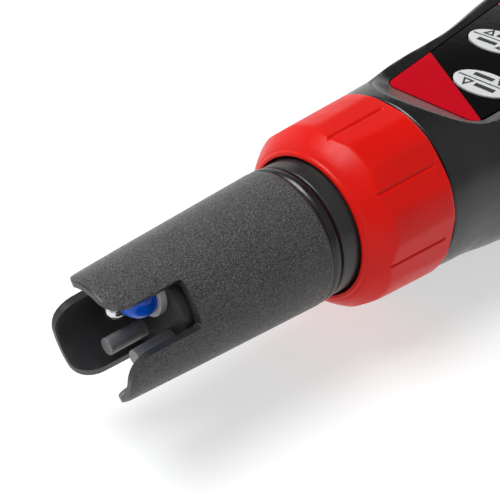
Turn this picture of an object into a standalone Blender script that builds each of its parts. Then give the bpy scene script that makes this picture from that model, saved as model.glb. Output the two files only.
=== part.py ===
"""A waterproof pH pen with a plug-in probe, lying on its back with the display up.

Sizes are in millimetres and turned into metres by MM. The pen is drawn in its own frame: X runs
along its axis from the sensor tip to the head, with x = 0 at the front edge of the guard's
O-ring, and Z is up. Panel pieces are drawn in the panel's frame: X up the slope, Z out of it.
"""
import bmesh
import bpy
from math import asin, atan, cos, degrees, pi, radians, sin
from mathutils import Matrix, Vector

MM = 0.001

# Driving sizes of the whole pen
TIP_X = -33.0            # ends of the guard's fingers
CASE_END_X = 131.0       # open end of the housing
EYE_END_X = 148.0        # outer end of the lanyard eye
AXIS_HEIGHT = 19.6       # pen axis above the flat back
MIDDLE_X = (TIP_X + EYE_END_X) / 2
GAP = 0.3                # clearance between pieces that touch

# Guard and probe
GUARD_R = 10.4           # outer radius at x = 0
GUARD_TAPER = 0.0605     # radius lost per millimetre toward the tip
GUARD_WALL = 1.3
BORE_R = 7.7             # inside of the probe shell
SLOT_END_X = -22.2
SLOT_HALF_DEG = 21.5
SLOT_INNER_R = 5.8       # the slot cutter reaches from here
SLOT_OUTER_R = 11.0      # to here
FINGER_CORNER_DEG = 31.0
FINGER_CORNER_LEN = 5.0
PROBE_TURN_DEG = -4.0    # how far the probe is turned in its socket
RING_WIDTH = 2.1         # groove of the guard's O-ring
FLANGE_X = 6.7
FLANGE_R = 12.3
FLANGE_LEN = 2.1
SPIGOT_R = 10.2
SPIGOT_END_X = 16.0
SENSOR_FACE_X = -22.9
ELECTRODE_YZ = (-0.08, 3.47)
BULB_X = -24.8
BULB_R = 2.85
STEM_R = 2.25
JUNCTION_R = 3.3
TEMP_YZ = (3.76, -0.3)
TEMP_R = 1.5
TEMP_TIP_X = -27.4
ROD_R = 1.2
ROD_TIP_X = -28.8
ROD_YZ = ((2.13, -4.0), (-4.02, -2.0))
PIN_CIRCLE_R = 4.4
PIN_R = 0.45
PIN_COUNT = 5

# Collar nut
NUT_FRONT_X = 4.9
NUT_BACK_X = 20.1
NUT_MOUTH_R = 10.75
NUT_BORE_R = 12.75
NUT_WALL_X = 6.4         # inner face of the nut's front wall
NUT_FLATS = 8
NUT_FLAT_TURN_DEG = 4.0
NUT_GROOVE_END_X = 18.9
NUT_GROOVE_WIDTH = 1.0
NUT_GROOVE_DEPTH = 0.33

# Housing
NECK_X = 10.6
SHOULDER_X = 20.4
THREAD_R = 12.4
THREAD_ROOT_R = 11.9
THREAD_START_X = 11.6
THREAD_PITCH = 2.5
THREAD_TURNS = 3
BACK_FLAT_X = 66.0       # the back is flat from here to the head

# Sloping panel: its plane passes (PANEL_X, PANEL_Z) and climbs by PANEL_SLOPE
PANEL_X = 24.0
PANEL_Z = 9.8
PANEL_SLOPE = 0.119
PANEL_TILT = atan(PANEL_SLOPE)
LABEL_START_X = 31.2
LABEL_END_X = 106.0
LABEL_START_HALF = 8.8
LABEL_HALF = 12.0
LABEL_FULL_X = 75.0      # the label is at its full width from here on
FILM_THICK = 0.4
POCKET_DEPTH = 0.7
FLOOR_THICK = 1.6        # housing wall under the panel
BAYS = (("key_bay", 34.2, 70.6, 9.8), ("display_bay", 71.6, 102.4, 10.4))
BAY_DEPTH = 4.6
KEY_HALF = (3.05, 5.28)  # half sizes of an oval key along and across the pen
KEY_MODE = (40.44, -2.83)
KEY_TEMP = (52.2, 3.37)
KEY_POWER = (63.2, -2.6)
KEY_POWER_R = 3.4
KEY_PROUD = 0.5
KEY_FLANGE = 0.8
WINDOW_X = (73.5, 100.5)
WINDOW_HALF = 9.3

# Batteries and head
CELL_R = 5.15
CELL_LEN = 44.5
CELL_X = 83.5
CELL_PITCH = 11.3
CELL_CENTRE_Z = -3.5
BLOCK_X = (79.0, 124.8)
BLOCK_HALF = 11.45
BOARD_W = (-7.5, -6.5)   # main board, measured from the panel plane

# Outer outline of the housing: x, half width, half height of the underside, squareness
CASE_OUTLINE = (
    (20.4, 14.45, 14.45, 2.0), (24.0, 14.9, 14.9, 2.0), (29.0, 15.3, 15.3, 2.0),
    (36.0, 16.0, 16.0, 2.15), (50.0, 16.4, 16.9, 2.5), (62.0, 17.7, 18.4, 3.0),
    (76.0, 19.2, 19.45, 3.4), (92.0, 20.0, 20.0, 3.6), (131.0, 20.0, 20.0, 3.6),
)
# Cavity: x, half width, half height above the axis, half height below it, squareness
CAVITY_OUTLINE = (
    (9.0, 10.5, 10.5, 10.5, 2.0), (18.5, 10.5, 10.5, 10.5, 2.0), (18.7, 8.7, 8.7, 8.7, 2.0),
    (29.0, 8.7, 8.7, 8.7, 2.0), (37.0, 11.0, 7.6, 11.5, 2.2), (48.0, 13.0, 8.6, 13.6, 2.4),
    (62.0, 14.8, 9.6, 15.4, 2.9), (80.0, 16.9, 12.0, 17.2, 3.4), (92.0, 17.8, 14.0, 17.8, 3.6),
    (108.0, 17.8, 17.2, 17.8, 3.6), (134.0, 17.8, 17.8, 17.8, 3.6),
)


# ---------------------------------------------------------------- scene and helpers

def clear_scene():
    for item in list(bpy.data.objects):
        bpy.data.objects.remove(item)


def make_collection(name):
    collection = bpy.data.collections.new(name)
    bpy.context.scene.collection.children.link(collection)
    return collection


clear_scene()
PARTS = make_collection("ph_test_pen")
CUTTERS = make_collection("cutters")


def material(name, colour, roughness, metallic=0.0):
    made = bpy.data.materials.new(name)
    made.use_nodes = True
    shader = made.node_tree.nodes["Principled BSDF"]
    shader.inputs["Base Color"].default_value = (*colour, 1.0)
    shader.inputs["Roughness"].default_value = roughness
    shader.inputs["Metallic"].default_value = metallic
    made.diffuse_color = (*colour, 1.0)
    return made


def empty(name, at=(0.0, 0.0, 0.0), tilt=0.0, parent=None):
    made = bpy.data.objects.new(name, None)
    made.location = Vector(at) * MM
    made.rotation_euler = (0.0, tilt, 0.0)
    made.parent = parent
    PARTS.objects.link(made)
    return made


def finish_mesh(bm, name):
    """Scale to metres, make the faces point outward and hand the mesh over."""
    bmesh.ops.scale(bm, vec=(MM, MM, MM), verts=bm.verts)
    if bm.faces:
        bmesh.ops.recalc_face_normals(bm, faces=bm.faces)
    mesh = bpy.data.meshes.new(name)
    bm.to_mesh(mesh)
    bm.free()
    return mesh


def add_part(name, mesh, parent, look, at=(0.0, 0.0, 0.0), spin_deg=0.0):
    part = bpy.data.objects.new(name, mesh)
    part.location = Vector(at) * MM
    part.rotation_euler = (radians(spin_deg), 0.0, 0.0)
    part.parent = parent
    part.data.materials.append(look)
    PARTS.objects.link(part)
    return part


def add_cutter(name, mesh, parent, at=(0.0, 0.0, 0.0), spin_deg=0.0):
    cutter = bpy.data.objects.new(name, mesh)
    cutter.location = Vector(at) * MM
    cutter.rotation_euler = (radians(spin_deg), 0.0, 0.0)
    cutter.parent = parent
    cutter.hide_render = True
    cutter.display_type = "WIRE"
    CUTTERS.objects.link(cutter)
    return cutter


def combine(part, other, operation="DIFFERENCE"):
    change = part.modifiers.new(other.name, "BOOLEAN")
    change.operation = operation
    change.solver = "EXACT"
    change.object = other


def soften(part, width, segments=2, angle_deg=40.0):
    bevel = part.modifiers.new("edges", "BEVEL")
    bevel.width = width * MM
    bevel.segments = segments
    bevel.limit_method = "ANGLE"
    bevel.angle_limit = radians(angle_deg)


def arc(centre, radius, start_deg, end_deg, steps):
    turns = [radians(start_deg + (end_deg - start_deg) * k / steps) for k in range(steps + 1)]
    return [(centre[0] + radius * cos(a), centre[1] + radius * sin(a)) for a in turns]


def signed_area(points):
    pairs = zip(points, points[1:] + points[:1])
    return sum(x0 * r1 - x1 * r0 for (x0, r0), (x1, r1) in pairs) / 2


def profile_mesh(name, points, closed):
    """A profile in the X-R plane, given as (x, radius) pairs, run so that it turns outward."""
    if signed_area(points) < 0:
        points = points[::-1]
    bm = bmesh.new()
    verts = [bm.verts.new((x, 0.0, r)) for x, r in points]
    pairs = list(zip(verts, verts[1:]))
    if closed:
        pairs.append((verts[-1], verts[0]))
    for first, second in pairs:
        bm.edges.new((first, second))
    return finish_mesh(bm, name)


def turn(part, steps):
    screw = part.modifiers.new("turned", "SCREW")
    screw.axis = "X"
    screw.angle = 2 * pi
    screw.steps = steps
    screw.render_steps = steps
    screw.use_merge_vertices = True
    screw.merge_threshold = 0.00001


def turned(name, points, parent, look, at=(0.0, 0.0, 0.0), steps=32, closed=True, spin_deg=0.0):
    part = add_part(name, profile_mesh(name, points, closed), parent, look, at, spin_deg)
    turn(part, steps)
    return part


def turned_solid(name, points, parent, look, at=(0.0, 0.0, 0.0), steps=18):
    """A solid of revolution whose profile starts and ends on the axis."""
    return turned(name, points, parent, look, at, steps, closed=False)


def ring(name, x, radius, thickness, parent, look, steps=30):
    """An O-ring round the pen's axis."""
    points = arc((x, radius), thickness / 2, 0, 315, 7)
    return turned(name, points, parent, look, steps=steps)


def box_mesh(name, low, high):
    bm = bmesh.new()
    bmesh.ops.create_cube(bm, size=1.0)
    size = [b - a for a, b in zip(low, high)]
    middle = [(a + b) / 2 for a, b in zip(low, high)]
    bmesh.ops.scale(bm, vec=size, verts=bm.verts)
    bmesh.ops.translate(bm, vec=middle, verts=bm.verts)
    return finish_mesh(bm, name)


def cylinder_mesh(name, radius, x_low, x_high, sides=20):
    """A cylinder along X."""
    bm = bmesh.new()
    bmesh.ops.create_cone(bm, cap_ends=True, segments=sides, radius1=radius, radius2=radius,
                          depth=x_high - x_low)
    bmesh.ops.rotate(bm, matrix=Matrix.Rotation(pi / 2, 3, "Y"), verts=bm.verts)
    bmesh.ops.translate(bm, vec=((x_low + x_high) / 2, 0, 0), verts=bm.verts)
    return finish_mesh(bm, name)


def loft_mesh(name, rings):
    """A closed solid through rings of equal point count, with flat ends."""
    bm = bmesh.new()
    loops = [[bm.verts.new(point) for point in points] for points in rings]
    count = len(loops[0])
    for near, far in zip(loops, loops[1:]):
        for k in range(count):
            after = (k + 1) % count
            bm.faces.new((near[k], near[after], far[after], far[k]))
    bm.faces.new(loops[0])
    bm.faces.new(loops[-1])
    return finish_mesh(bm, name)


def prism_mesh(name, outline, low, high):
    """A flat outline in the XY plane, raised from low to high along Z."""
    return loft_mesh(name, [[(x, y, z) for x, y in outline] for z in (low, high)])


def oval(centre, half_x, half_y, count=26):
    turns = [2 * pi * k / count for k in range(count)]
    return [(centre[0] + half_x * cos(a), centre[1] + half_y * sin(a)) for a in turns]


def rounded_box(low, high, radius, steps=5):
    """Outline of a rectangle with round corners."""
    (x0, y0), (x1, y1) = low, high
    corners = ((x1 - radius, y1 - radius, 0), (x0 + radius, y1 - radius, 90),
               (x0 + radius, y0 + radius, 180), (x1 - radius, y0 + radius, 270))
    return [p for x, y, a in corners for p in arc((x, y), radius, a, a + 90, steps)]


def squircle(x, half_y, top, bottom, power, count=48):
    """A section across the pen: an ellipse whose sides are fuller for a higher power."""
    points = []
    for k in range(count):
        a = 2 * pi * k / count
        y = abs(cos(a)) ** (2 / power) * (1 if cos(a) > 0 else -1) * half_y
        z = abs(sin(a)) ** (2 / power) * (top if sin(a) > 0 else -bottom)
        points.append((x, y, z))
    return points


def smooth_row(rows, x):
    """Values at x from rows that start with x, joined by a smooth curve."""
    if x <= rows[0][0]:
        return rows[0][1:]
    if x >= rows[-1][0]:
        return rows[-1][1:]
    k = max(i for i, row in enumerate(rows[:-1]) if row[0] <= x)
    a, b = rows[k], rows[k + 1]
    before, after = rows[max(k - 1, 0)], rows[min(k + 2, len(rows) - 1)]
    span = b[0] - a[0]
    t = (x - a[0]) / span
    values = []
    for i in range(1, len(a)):
        slope_a = (b[i] - before[i]) / (b[0] - before[0]) * span
        slope_b = (after[i] - a[i]) / (after[0] - a[0]) * span
        values.append((2 * t**3 - 3 * t**2 + 1) * a[i] + (t**3 - 2 * t**2 + t) * slope_a
                      + (3 * t**2 - 2 * t**3) * b[i] + (t**3 - t**2) * slope_b)
    return values


# ---------------------------------------------------------------- looks and frames

BLACK = material("case_black", (0.018, 0.019, 0.021), 0.38)
GUARD_GREY = material("guard_grey", (0.05, 0.052, 0.055), 0.62)
RED = material("collar_red", (0.62, 0.018, 0.008), 0.36)
RUBBER = material("black_rubber", (0.008, 0.008, 0.009), 0.3)
FILM = material("label_film", (0.006, 0.006, 0.007), 0.16)
KEY_GREY = material("key_grey", (0.66, 0.67, 0.68), 0.45)
CLEAR = material("clear_window", (0.75, 0.8, 0.82), 0.05)
LCD_GREY = material("display_grey", (0.33, 0.37, 0.31), 0.2)
WHITE = material("white_plastic", (0.78, 0.78, 0.76), 0.5)
BOARD_GREEN = material("board_green", (0.02, 0.16, 0.06), 0.45)
CHIP_BLACK = material("chip_black", (0.02, 0.02, 0.02), 0.5)
STEEL = material("steel", (0.6, 0.6, 0.6), 0.25, 1.0)
GOLD = material("contact_gold", (0.8, 0.58, 0.2), 0.3, 1.0)
SILVER = material("silver_wire", (0.65, 0.63, 0.6), 0.35, 1.0)
BLUE_GLASS = material("blue_glass", (0.0, 0.06, 0.5), 0.06)
JUNCTION_GREY = material("junction_grey", (0.5, 0.5, 0.5), 0.7)
GRAPHITE = material("graphite", (0.13, 0.13, 0.135), 0.45, 0.4)
CELL_SKIN = material("cell_skin", (0.12, 0.14, 0.2), 0.35, 0.5)

PEN = empty("pen", (-MIDDLE_X, 0.0, AXIS_HEIGHT))
PROBE = empty("probe", parent=PEN)
COLLAR = empty("collar", parent=PROBE)
PANEL = empty("panel", (PANEL_X, 0.0, PANEL_Z), -PANEL_TILT, PEN)
HEAD_CAP = empty("head_cap", (CASE_END_X, 0.0, 0.0), 0.0, PEN)


def along(x):
    """Distance up the panel for a place x along the pen."""
    return (x - PANEL_X) / cos(PANEL_TILT)


def panel_z(x, out=0.0):
    """Height above the pen's axis of a point that stands out of the panel by `out`."""
    return PANEL_Z + PANEL_SLOPE * (x - PANEL_X) + out / cos(PANEL_TILT)


# ---------------------------------------------------------------- probe

def guard_radius(x):
    return GUARD_R + GUARD_TAPER * x


def slot_section(x, half_deg, across=6):
    """A curved section of the slot cutter, `half_deg` to each side of straight up."""
    turns = [radians(half_deg * (2 * k / across - 1)) for k in range(across + 1)]
    outer = [(x, SLOT_OUTER_R * sin(a), SLOT_OUTER_R * cos(a)) for a in turns]
    inner = [(x, SLOT_INNER_R * sin(a), SLOT_INNER_R * cos(a)) for a in reversed(turns)]
    return outer + inner


def slot_cutter(number):
    """The wedge that leaves two round-cornered fingers beside it."""
    stations = [(SLOT_END_X, SLOT_HALF_DEG - 5.0), (SLOT_END_X - 0.25, SLOT_HALF_DEG - 1.5),
                (SLOT_END_X - 0.9, SLOT_HALF_DEG)]
    start_x = TIP_X + FINGER_CORNER_LEN
    steps = 9
    for k in range(steps + 1):
        a = pi / 2 * k / steps
        stations.append((start_x - FINGER_CORNER_LEN * sin(a),
                         SLOT_HALF_DEG + FINGER_CORNER_DEG * (1 - cos(a))))
    stations.append((TIP_X - 4.0, SLOT_HALF_DEG + FINGER_CORNER_DEG))
    rings = [slot_section(x, half) for x, half in stations]
    spin = 60.0 + PROBE_TURN_DEG + 120.0 * number
    return add_cutter(f"guard_slot_{number + 1}", loft_mesh("guard_slot", rings), PROBE,
                      spin_deg=spin)


def make_probe_shell():
    tip = guard_radius(TIP_X)
    inner_tip = tip - GUARD_WALL
    points = [(TIP_X, inner_tip + 0.3), (TIP_X, tip - 0.65), (TIP_X + 0.25, tip - 0.3),
              (TIP_X + 0.9, guard_radius(TIP_X + 0.9) - 0.08),
              (TIP_X + 4.0, guard_radius(TIP_X + 4.0)),
              (-0.2, guard_radius(-0.2)),
              (0.0, GUARD_R - 0.2), (0.0, 8.55), (RING_WIDTH, 8.55), (RING_WIDTH, 10.0),
              (RING_WIDTH + 0.15, 10.2), (FLANGE_X, 10.35), (FLANGE_X, FLANGE_R),
              (FLANGE_X + FLANGE_LEN, FLANGE_R), (FLANGE_X + FLANGE_LEN, SPIGOT_R),
              (SPIGOT_END_X, SPIGOT_R), (SPIGOT_END_X, BORE_R), (SENSOR_FACE_X + 1.9, BORE_R),
              (TIP_X + 0.3, inner_tip)]
    shell = turned("probe_shell", points, PROBE, GUARD_GREY, steps=54)
    for number in range(3):
        combine(shell, slot_cutter(number))


def make_probe_seals():
    ring("guard_ring", RING_WIDTH / 2, 9.6, 1.7, PROBE, RUBBER)
    ring("flange_seal", 9.7, 11.15, 1.2, PROBE, RUBBER)


def make_sensor_base():
    """The plug that closes the shell and holds the sensors."""
    radius = BORE_R - GAP
    points = [(SENSOR_FACE_X, 0.0), (SENSOR_FACE_X, radius - 0.3),
              (SENSOR_FACE_X + 0.3, radius - 0.1), (SENSOR_FACE_X + 2.0, radius), (-14.0, radius),
              (-14.0, 0.0)]
    base = turned_solid("sensor_base", points, PROBE, GUARD_GREY, steps=32)
    holes = [(ELECTRODE_YZ, JUNCTION_R + 0.12), (TEMP_YZ, TEMP_R + 0.12)]
    holes += [(place, ROD_R + 0.1) for place in ROD_YZ]
    for number, ((y, z), radius) in enumerate(holes):
        mesh = cylinder_mesh("sensor_hole", radius, -30.0, -6.0)
        combine(base, add_cutter(f"sensor_hole_{number + 1}", mesh, PROBE, (0, y, z)))


def bulb_profile(radius, stem, back_x):
    """The outline of the blown bulb from its tip round to the stem's back end."""
    last = 180.0 - degrees(asin(stem / radius))
    points = [(BULB_X - radius * cos(radians(a)), radius * sin(radians(a)))
              for a in [last * k / 8 for k in range(9)]]
    points[0] = (BULB_X - radius, 0.0)
    return points + [(back_x, stem)]


def make_glass_electrode():
    """Thin blue bulb and its stem, open at the back."""
    outer = bulb_profile(BULB_R, STEM_R, -8.0)
    inner = bulb_profile(BULB_R - 0.35, STEM_R - 0.5, -8.0)
    turned_solid("glass_electrode", outer + inner[::-1], PROBE, BLUE_GLASS, (0, *ELECTRODE_YZ),
                 steps=18)
    collar = [(SENSOR_FACE_X - 0.55, 2.6), (SENSOR_FACE_X - 0.55, JUNCTION_R - 0.1),
              (SENSOR_FACE_X - 0.4, JUNCTION_R), (-17.0, JUNCTION_R), (-17.0, 2.6)]
    turned("junction_ring", collar, PROBE, JUNCTION_GREY, (0, *ELECTRODE_YZ), steps=20)
    wire = [(-26.0, 0.0), (-25.9, 0.45), (-19.0, 0.45), (-18.9, 0.25), (-3.0, 0.25), (-3.0, 0.0)]
    turned_solid("inner_electrode", wire, PROBE, SILVER, (0, *ELECTRODE_YZ), steps=12)
    wire = [(-12.5, 0.0), (-12.5, 0.4), (7.5, 0.4), (7.5, 0.0)]
    turned_solid("reference_wire", wire, PROBE, SILVER, (0, -3.6, 1.2), steps=12)


def make_rods():
    for number, (y, z) in enumerate(ROD_YZ):
        points = [(ROD_TIP_X, 0.0), (ROD_TIP_X, ROD_R - 0.12), (ROD_TIP_X + 0.1, ROD_R),
                  (-12.0, ROD_R), (-12.0, 0.0)]
        turned_solid(f"graphite_rod_{number + 1}", points, PROBE, GRAPHITE, (0, y, z))


def make_temp_sensor():
    inner = TEMP_R - 0.35
    dome_x = TEMP_TIP_X + TEMP_R
    outside = [(dome_x - TEMP_R * cos(radians(a)), TEMP_R * sin(radians(a)))
               for a in range(0, 91, 18)]
    inside = [(dome_x - inner * cos(radians(a)), inner * sin(radians(a)))
              for a in range(90, -1, -18)]
    outside[0] = (TEMP_TIP_X, 0.0)
    inside[-1] = (dome_x - inner, 0.0)
    points = outside + [(-10.0, TEMP_R), (-10.0, inner)] + inside
    turned_solid("temp_tube", points, PROBE, STEEL, (0, *TEMP_YZ))
    bead = [(-26.6, 0.0), (-26.4, 0.45), (-25.6, 0.6), (-24.8, 0.4), (-24.4, 0.2), (-6.0, 0.2),
            (-6.0, 0.0)]
    turned_solid("thermistor", bead, PROBE, CHIP_BLACK, (0, *TEMP_YZ), steps=12)


def pin_places():
    turns = [radians(90.0 + 360.0 * k / PIN_COUNT) for k in range(PIN_COUNT)]
    return [(PIN_CIRCLE_R * cos(a), PIN_CIRCLE_R * sin(a)) for a in turns]


def make_probe_plug():
    radius = BORE_R - GAP
    points = [(9.0, 0.0), (9.0, radius), (15.6, radius), (15.8, radius - 0.2), (15.8, 0.0)]
    plug = turned_solid("probe_plug", points, PROBE, CHIP_BLACK, steps=24)
    for number, (y, z) in enumerate(pin_places()):
        mesh = cylinder_mesh("plug_pin", PIN_R, 14.0, 20.5, 12)
        combine(plug, add_cutter(f"plug_pin_{number + 1}", mesh, PROBE, (0, y, z)), "UNION")


# ---------------------------------------------------------------- collar nut

def nut_radius(x):
    """Crest radius of the nut's grip, which widens toward the case."""
    return 14.22 + 0.079 * (x - 8.4)


def make_collar_nut():
    outer = [(NUT_FRONT_X, NUT_MOUTH_R + 0.15), (NUT_FRONT_X, 11.4), (NUT_FRONT_X + 0.2, 11.6),
             (5.3, 11.9), (5.8, 12.45), (6.5, 13.03), (7.2, 13.52), (7.9, 13.9),
             (8.6, 14.16), (9.6, nut_radius(9.6)), (14.0, nut_radius(14.0)),
             (NUT_BACK_X - 0.5, 15.0), (NUT_BACK_X - 0.15, 14.95), (NUT_BACK_X, 14.8)]
    inner = [(NUT_BACK_X, NUT_BORE_R + 0.3), (NUT_BACK_X - 0.3, NUT_BORE_R),
             (NUT_WALL_X, NUT_BORE_R), (NUT_WALL_X, NUT_MOUTH_R), (NUT_FRONT_X + 0.15, NUT_MOUTH_R)]
    nut = turned("collar_nut", outer + inner, COLLAR, RED, steps=56)
    for cutter, mesh in (("nut_flat", nut_flat_mesh), ("nut_groove", nut_groove_mesh)):
        for number in range(NUT_FLATS):
            spin = NUT_FLAT_TURN_DEG + 360.0 / NUT_FLATS * number
            combine(nut, add_cutter(f"{cutter}_{number + 1}", mesh(), COLLAR, spin_deg=spin))


def nut_flat_height(x):
    return 13.88 + 0.062 * (x - 8.4)


def nut_flat_mesh():
    """A block whose underside is a flat that climbs toward the case."""
    rings = []
    for x in (NUT_FRONT_X - 3.0, NUT_GROOVE_END_X + 3.0):
        low = nut_flat_height(x)
        rings.append([(x, -7.0, low), (x, 7.0, low), (x, 7.0, 22.0), (x, -7.0, 22.0)])
    return loft_mesh("nut_flat", rings)


def nut_groove_mesh():
    """A narrow groove down the middle of a flat."""
    floor_half, rim_half = NUT_GROOVE_WIDTH * 0.25, NUT_GROOVE_WIDTH * 1.7
    rings = []
    for x in (NUT_FRONT_X - 1.0, NUT_GROOVE_END_X):
        low = nut_flat_height(x) - NUT_GROOVE_DEPTH
        high = low + 1.6
        rings.append([(x, -floor_half, low), (x, floor_half, low), (x, rim_half, high),
                      (x, -rim_half, high)])
    return loft_mesh("nut_groove", rings)


# ---------------------------------------------------------------- housing

def thread_stations():
    stations = [(NECK_X, THREAD_ROOT_R - 0.2), (NECK_X + 0.3, THREAD_ROOT_R)]
    for k in range(THREAD_TURNS):
        x = THREAD_START_X + THREAD_PITCH * k
        stations += [(x, THREAD_ROOT_R), (x + 0.5, THREAD_R), (x + 0.8, THREAD_R),
                     (x + 1.3, THREAD_ROOT_R)]
    return stations + [(SHOULDER_X - 0.05, THREAD_ROOT_R)]


def label_outline(grow=0.0, grow_start=None, grow_end=None, steps=5):
    """The label's edge in the panel frame, or the same shape grown outward."""
    start = along(LABEL_START_X) - (grow if grow_start is None else grow_start)
    end = along(LABEL_END_X) + (grow if grow_end is None else grow_end)
    full = along(LABEL_FULL_X)
    narrow, wide = LABEL_START_HALF + grow, LABEL_HALF + grow
    small, large = 2.4 + max(grow, -1.0), 5.5 + max(grow, -2.0)
    right = arc((start + small, narrow - small), small, 180, 94, steps)
    right += [(full - 12.0, wide - 0.85), (full, wide - 0.12), (full + 8.0, wide)]
    right += arc((end - large, wide - large), large, 90, 0, steps)
    return right + [(x, -y) for x, y in reversed(right)]


def pocket_cutter():
    """The label's pocket, whose rim slopes gently outward at the sides."""
    rise = 8.0
    rings = [[(x, y, z) for x, y in outline] for outline, z in (
        (label_outline(0.25), -POCKET_DEPTH), (label_outline(0.25), 0.0),
        (label_outline(rise * 3.2, rise * 1.75, rise * 2.0), rise))]
    return add_cutter("label_pocket", loft_mesh("label_pocket", rings), PANEL)


def bay_cutters():
    """Room under the panel for the keys and for the display, with a rib between them."""
    top = -POCKET_DEPTH - FLOOR_THICK
    bays = []
    for name, x_low, x_high, half in BAYS:
        outline = rounded_box((along(x_low), -half), (along(x_high), half), 1.5, 2)
        bays.append(add_cutter(name, prism_mesh(name, outline, top - BAY_DEPTH, top), PANEL))
    return bays


def make_housing():
    rings = [squircle(x, r, r, r, 2.0) for x, r in thread_stations()]
    steps = [20.4, 20.65, 24, 29, 36, 43, 50, 56, 62, 69, 76, 84, 92, CASE_END_X - 0.3,
             CASE_END_X]
    for x in steps:
        half, under, power = smooth_row(CASE_OUTLINE, x)
        edge = 0.2 if x in (steps[0], steps[-1]) else 0.0
        rings.append(squircle(x, half - edge, half - edge, under - edge, power))
    housing = add_part("housing", loft_mesh("housing", rings), PEN, BLACK)
    cavity = [squircle(x, half, top, under, power, 36)
              for x, half, top, under, power in CAVITY_OUTLINE]
    combine(housing, add_cutter("cavity", loft_mesh("cavity", cavity), PEN))
    combine(housing, pocket_cutter())
    for bay in bay_cutters():
        combine(housing, bay)
    combine(housing, back_flat_cutter())
    return housing


def back_flat_cutter():
    mesh = box_mesh("back_flat", (BACK_FLAT_X, -30, -40), (EYE_END_X + 10, 30, -AXIS_HEIGHT))
    return add_cutter("back_flat", mesh, PEN)


def make_overlay(housing):
    mesh = prism_mesh("panel_overlay", label_outline(-0.05), -FILM_THICK, 0.0)
    film = add_part("panel_overlay", mesh, PANEL, FILM)
    for name, outline in key_outlines(GAP) + [("window", window_outline(GAP))]:
        hole = add_cutter(f"{name}_hole", prism_mesh(f"{name}_hole", outline, -6.0, 3.0), PANEL)
        combine(film, hole)
        combine(housing, hole)


# ---------------------------------------------------------------- keys, window and boards

def key_outlines(grow):
    mode = oval((along(KEY_MODE[0]), KEY_MODE[1]), KEY_HALF[0] + grow, KEY_HALF[1] + grow)
    temp = oval((along(KEY_TEMP[0]), KEY_TEMP[1]), KEY_HALF[0] + grow, KEY_HALF[1] + grow)
    radius = KEY_POWER_R + grow
    power = oval((along(KEY_POWER[0]), KEY_POWER[1]), radius, radius)
    return [("key_mode", mode), ("key_temp", temp), ("key_power", power)]


def window_outline(grow):
    low = (along(WINDOW_X[0]) - grow, -WINDOW_HALF - grow)
    high = (along(WINDOW_X[1]) + grow, WINDOW_HALF + grow)
    return rounded_box(low, high, 2.0 + grow)


def make_key(name, place, half, look):
    """A key with a low dome and a flange that keeps it in its hole."""
    holder = empty(f"{name}_slide", (along(place[0]), place[1], 0.0), 0.0, PANEL)
    levels = [(-3.2, KEY_FLANGE), (-2.6, KEY_FLANGE), (-2.59, 0.0), (0.15, 0.0),
              (0.35, -0.08), (KEY_PROUD, -0.35), (KEY_PROUD + 0.12, -1.4)]
    rings = [[(x, y, z) for x, y in oval((0, 0), half[0] + grow, half[1] + grow)]
             for z, grow in levels]
    add_part(name, loft_mesh(name, rings), holder, look)


def make_keys():
    make_key("key_mode", KEY_MODE, KEY_HALF, KEY_GREY)
    make_key("key_temp", KEY_TEMP, KEY_HALF, KEY_GREY)
    make_key("key_power", KEY_POWER, (KEY_POWER_R, KEY_POWER_R), KEY_GREY)


def make_membrane():
    low = (along(35.6), -7.2)
    high = (along(68.5), 7.2)
    mesh = prism_mesh("key_membrane", rounded_box(low, high, 1.5), -4.5, -4.0)
    add_part("key_membrane", mesh, PANEL, RUBBER)


def make_display():
    window = add_part("lcd_window", prism_mesh("lcd_window", window_outline(0.0), -1.9, -0.1),
                      PANEL, CLEAR)
    soften(window, 0.15)
    low, high = (along(72.4), -9.9), (along(101.4), 9.9)
    mesh = prism_mesh("lcd_module", rounded_box(low, high, 0.4, 1), -4.3, -2.6)
    add_part("lcd_module", mesh, PANEL, LCD_GREY)
    mesh = prism_mesh("lcd_backlight", rounded_box(low, high, 0.4, 1), -6.1, -4.6)
    add_part("lcd_backlight", mesh, PANEL, WHITE)


def make_board():
    outline = rounded_box((along(35.0), -7.3), (along(102.0), 7.3), 1.0, 3)
    add_part("main_board", prism_mesh("main_board", outline, *BOARD_W), PANEL, BOARD_GREEN)
    chip = box_mesh("mcu_chip", (along(52.0), -3.5, -8.8), (along(59.0), 3.5, -7.8))
    add_part("mcu_chip", chip, PANEL, CHIP_BLACK)
    for name, (x, y) in (("mode", KEY_MODE), ("temp", KEY_TEMP), ("power", KEY_POWER)):
        make_switch(f"tact_switch_{name}", along(x), y)


def make_switch(name, x, y):
    """A dome switch: its body on the board and its plunger under the key."""
    rings = [[(px, py, z) for px, py in oval((0, 0), r, r, 20)]
             for z, r in ((-6.2, 2.4), (-5.4, 2.4), (-5.39, 1.2), (-4.8, 1.1))]
    add_part(name, loft_mesh(name, rings), PANEL, STEEL, (x, y, 0.0))


def make_socket():
    """The five-way socket in the bulkhead, with its seal."""
    points = [(16.6, 0.0), (16.6, 9.9), (18.2, 9.9), (18.2, 8.3), (21.0, 8.3), (21.0, 7.0),
              (22.6, 7.0), (22.6, 8.3), (27.0, 8.3), (27.0, 0.0)]
    socket = turned_solid("probe_socket", points, PEN, CHIP_BLACK, steps=28)
    for number, (y, z) in enumerate(pin_places()):
        mesh = cylinder_mesh("socket_hole", PIN_R + GAP, 15.0, 21.5, 12)
        combine(socket, add_cutter(f"socket_hole_{number + 1}", mesh, PEN, (0, y, z)))
    ring("bulkhead_ring", 21.8, 7.7, 1.0, PEN, RUBBER)


# ---------------------------------------------------------------- battery block and cap

def cell_places():
    half = CELL_PITCH / 2
    return [(y, CELL_CENTRE_Z + z) for y in (-half, half) for z in (-half, half)]


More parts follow.
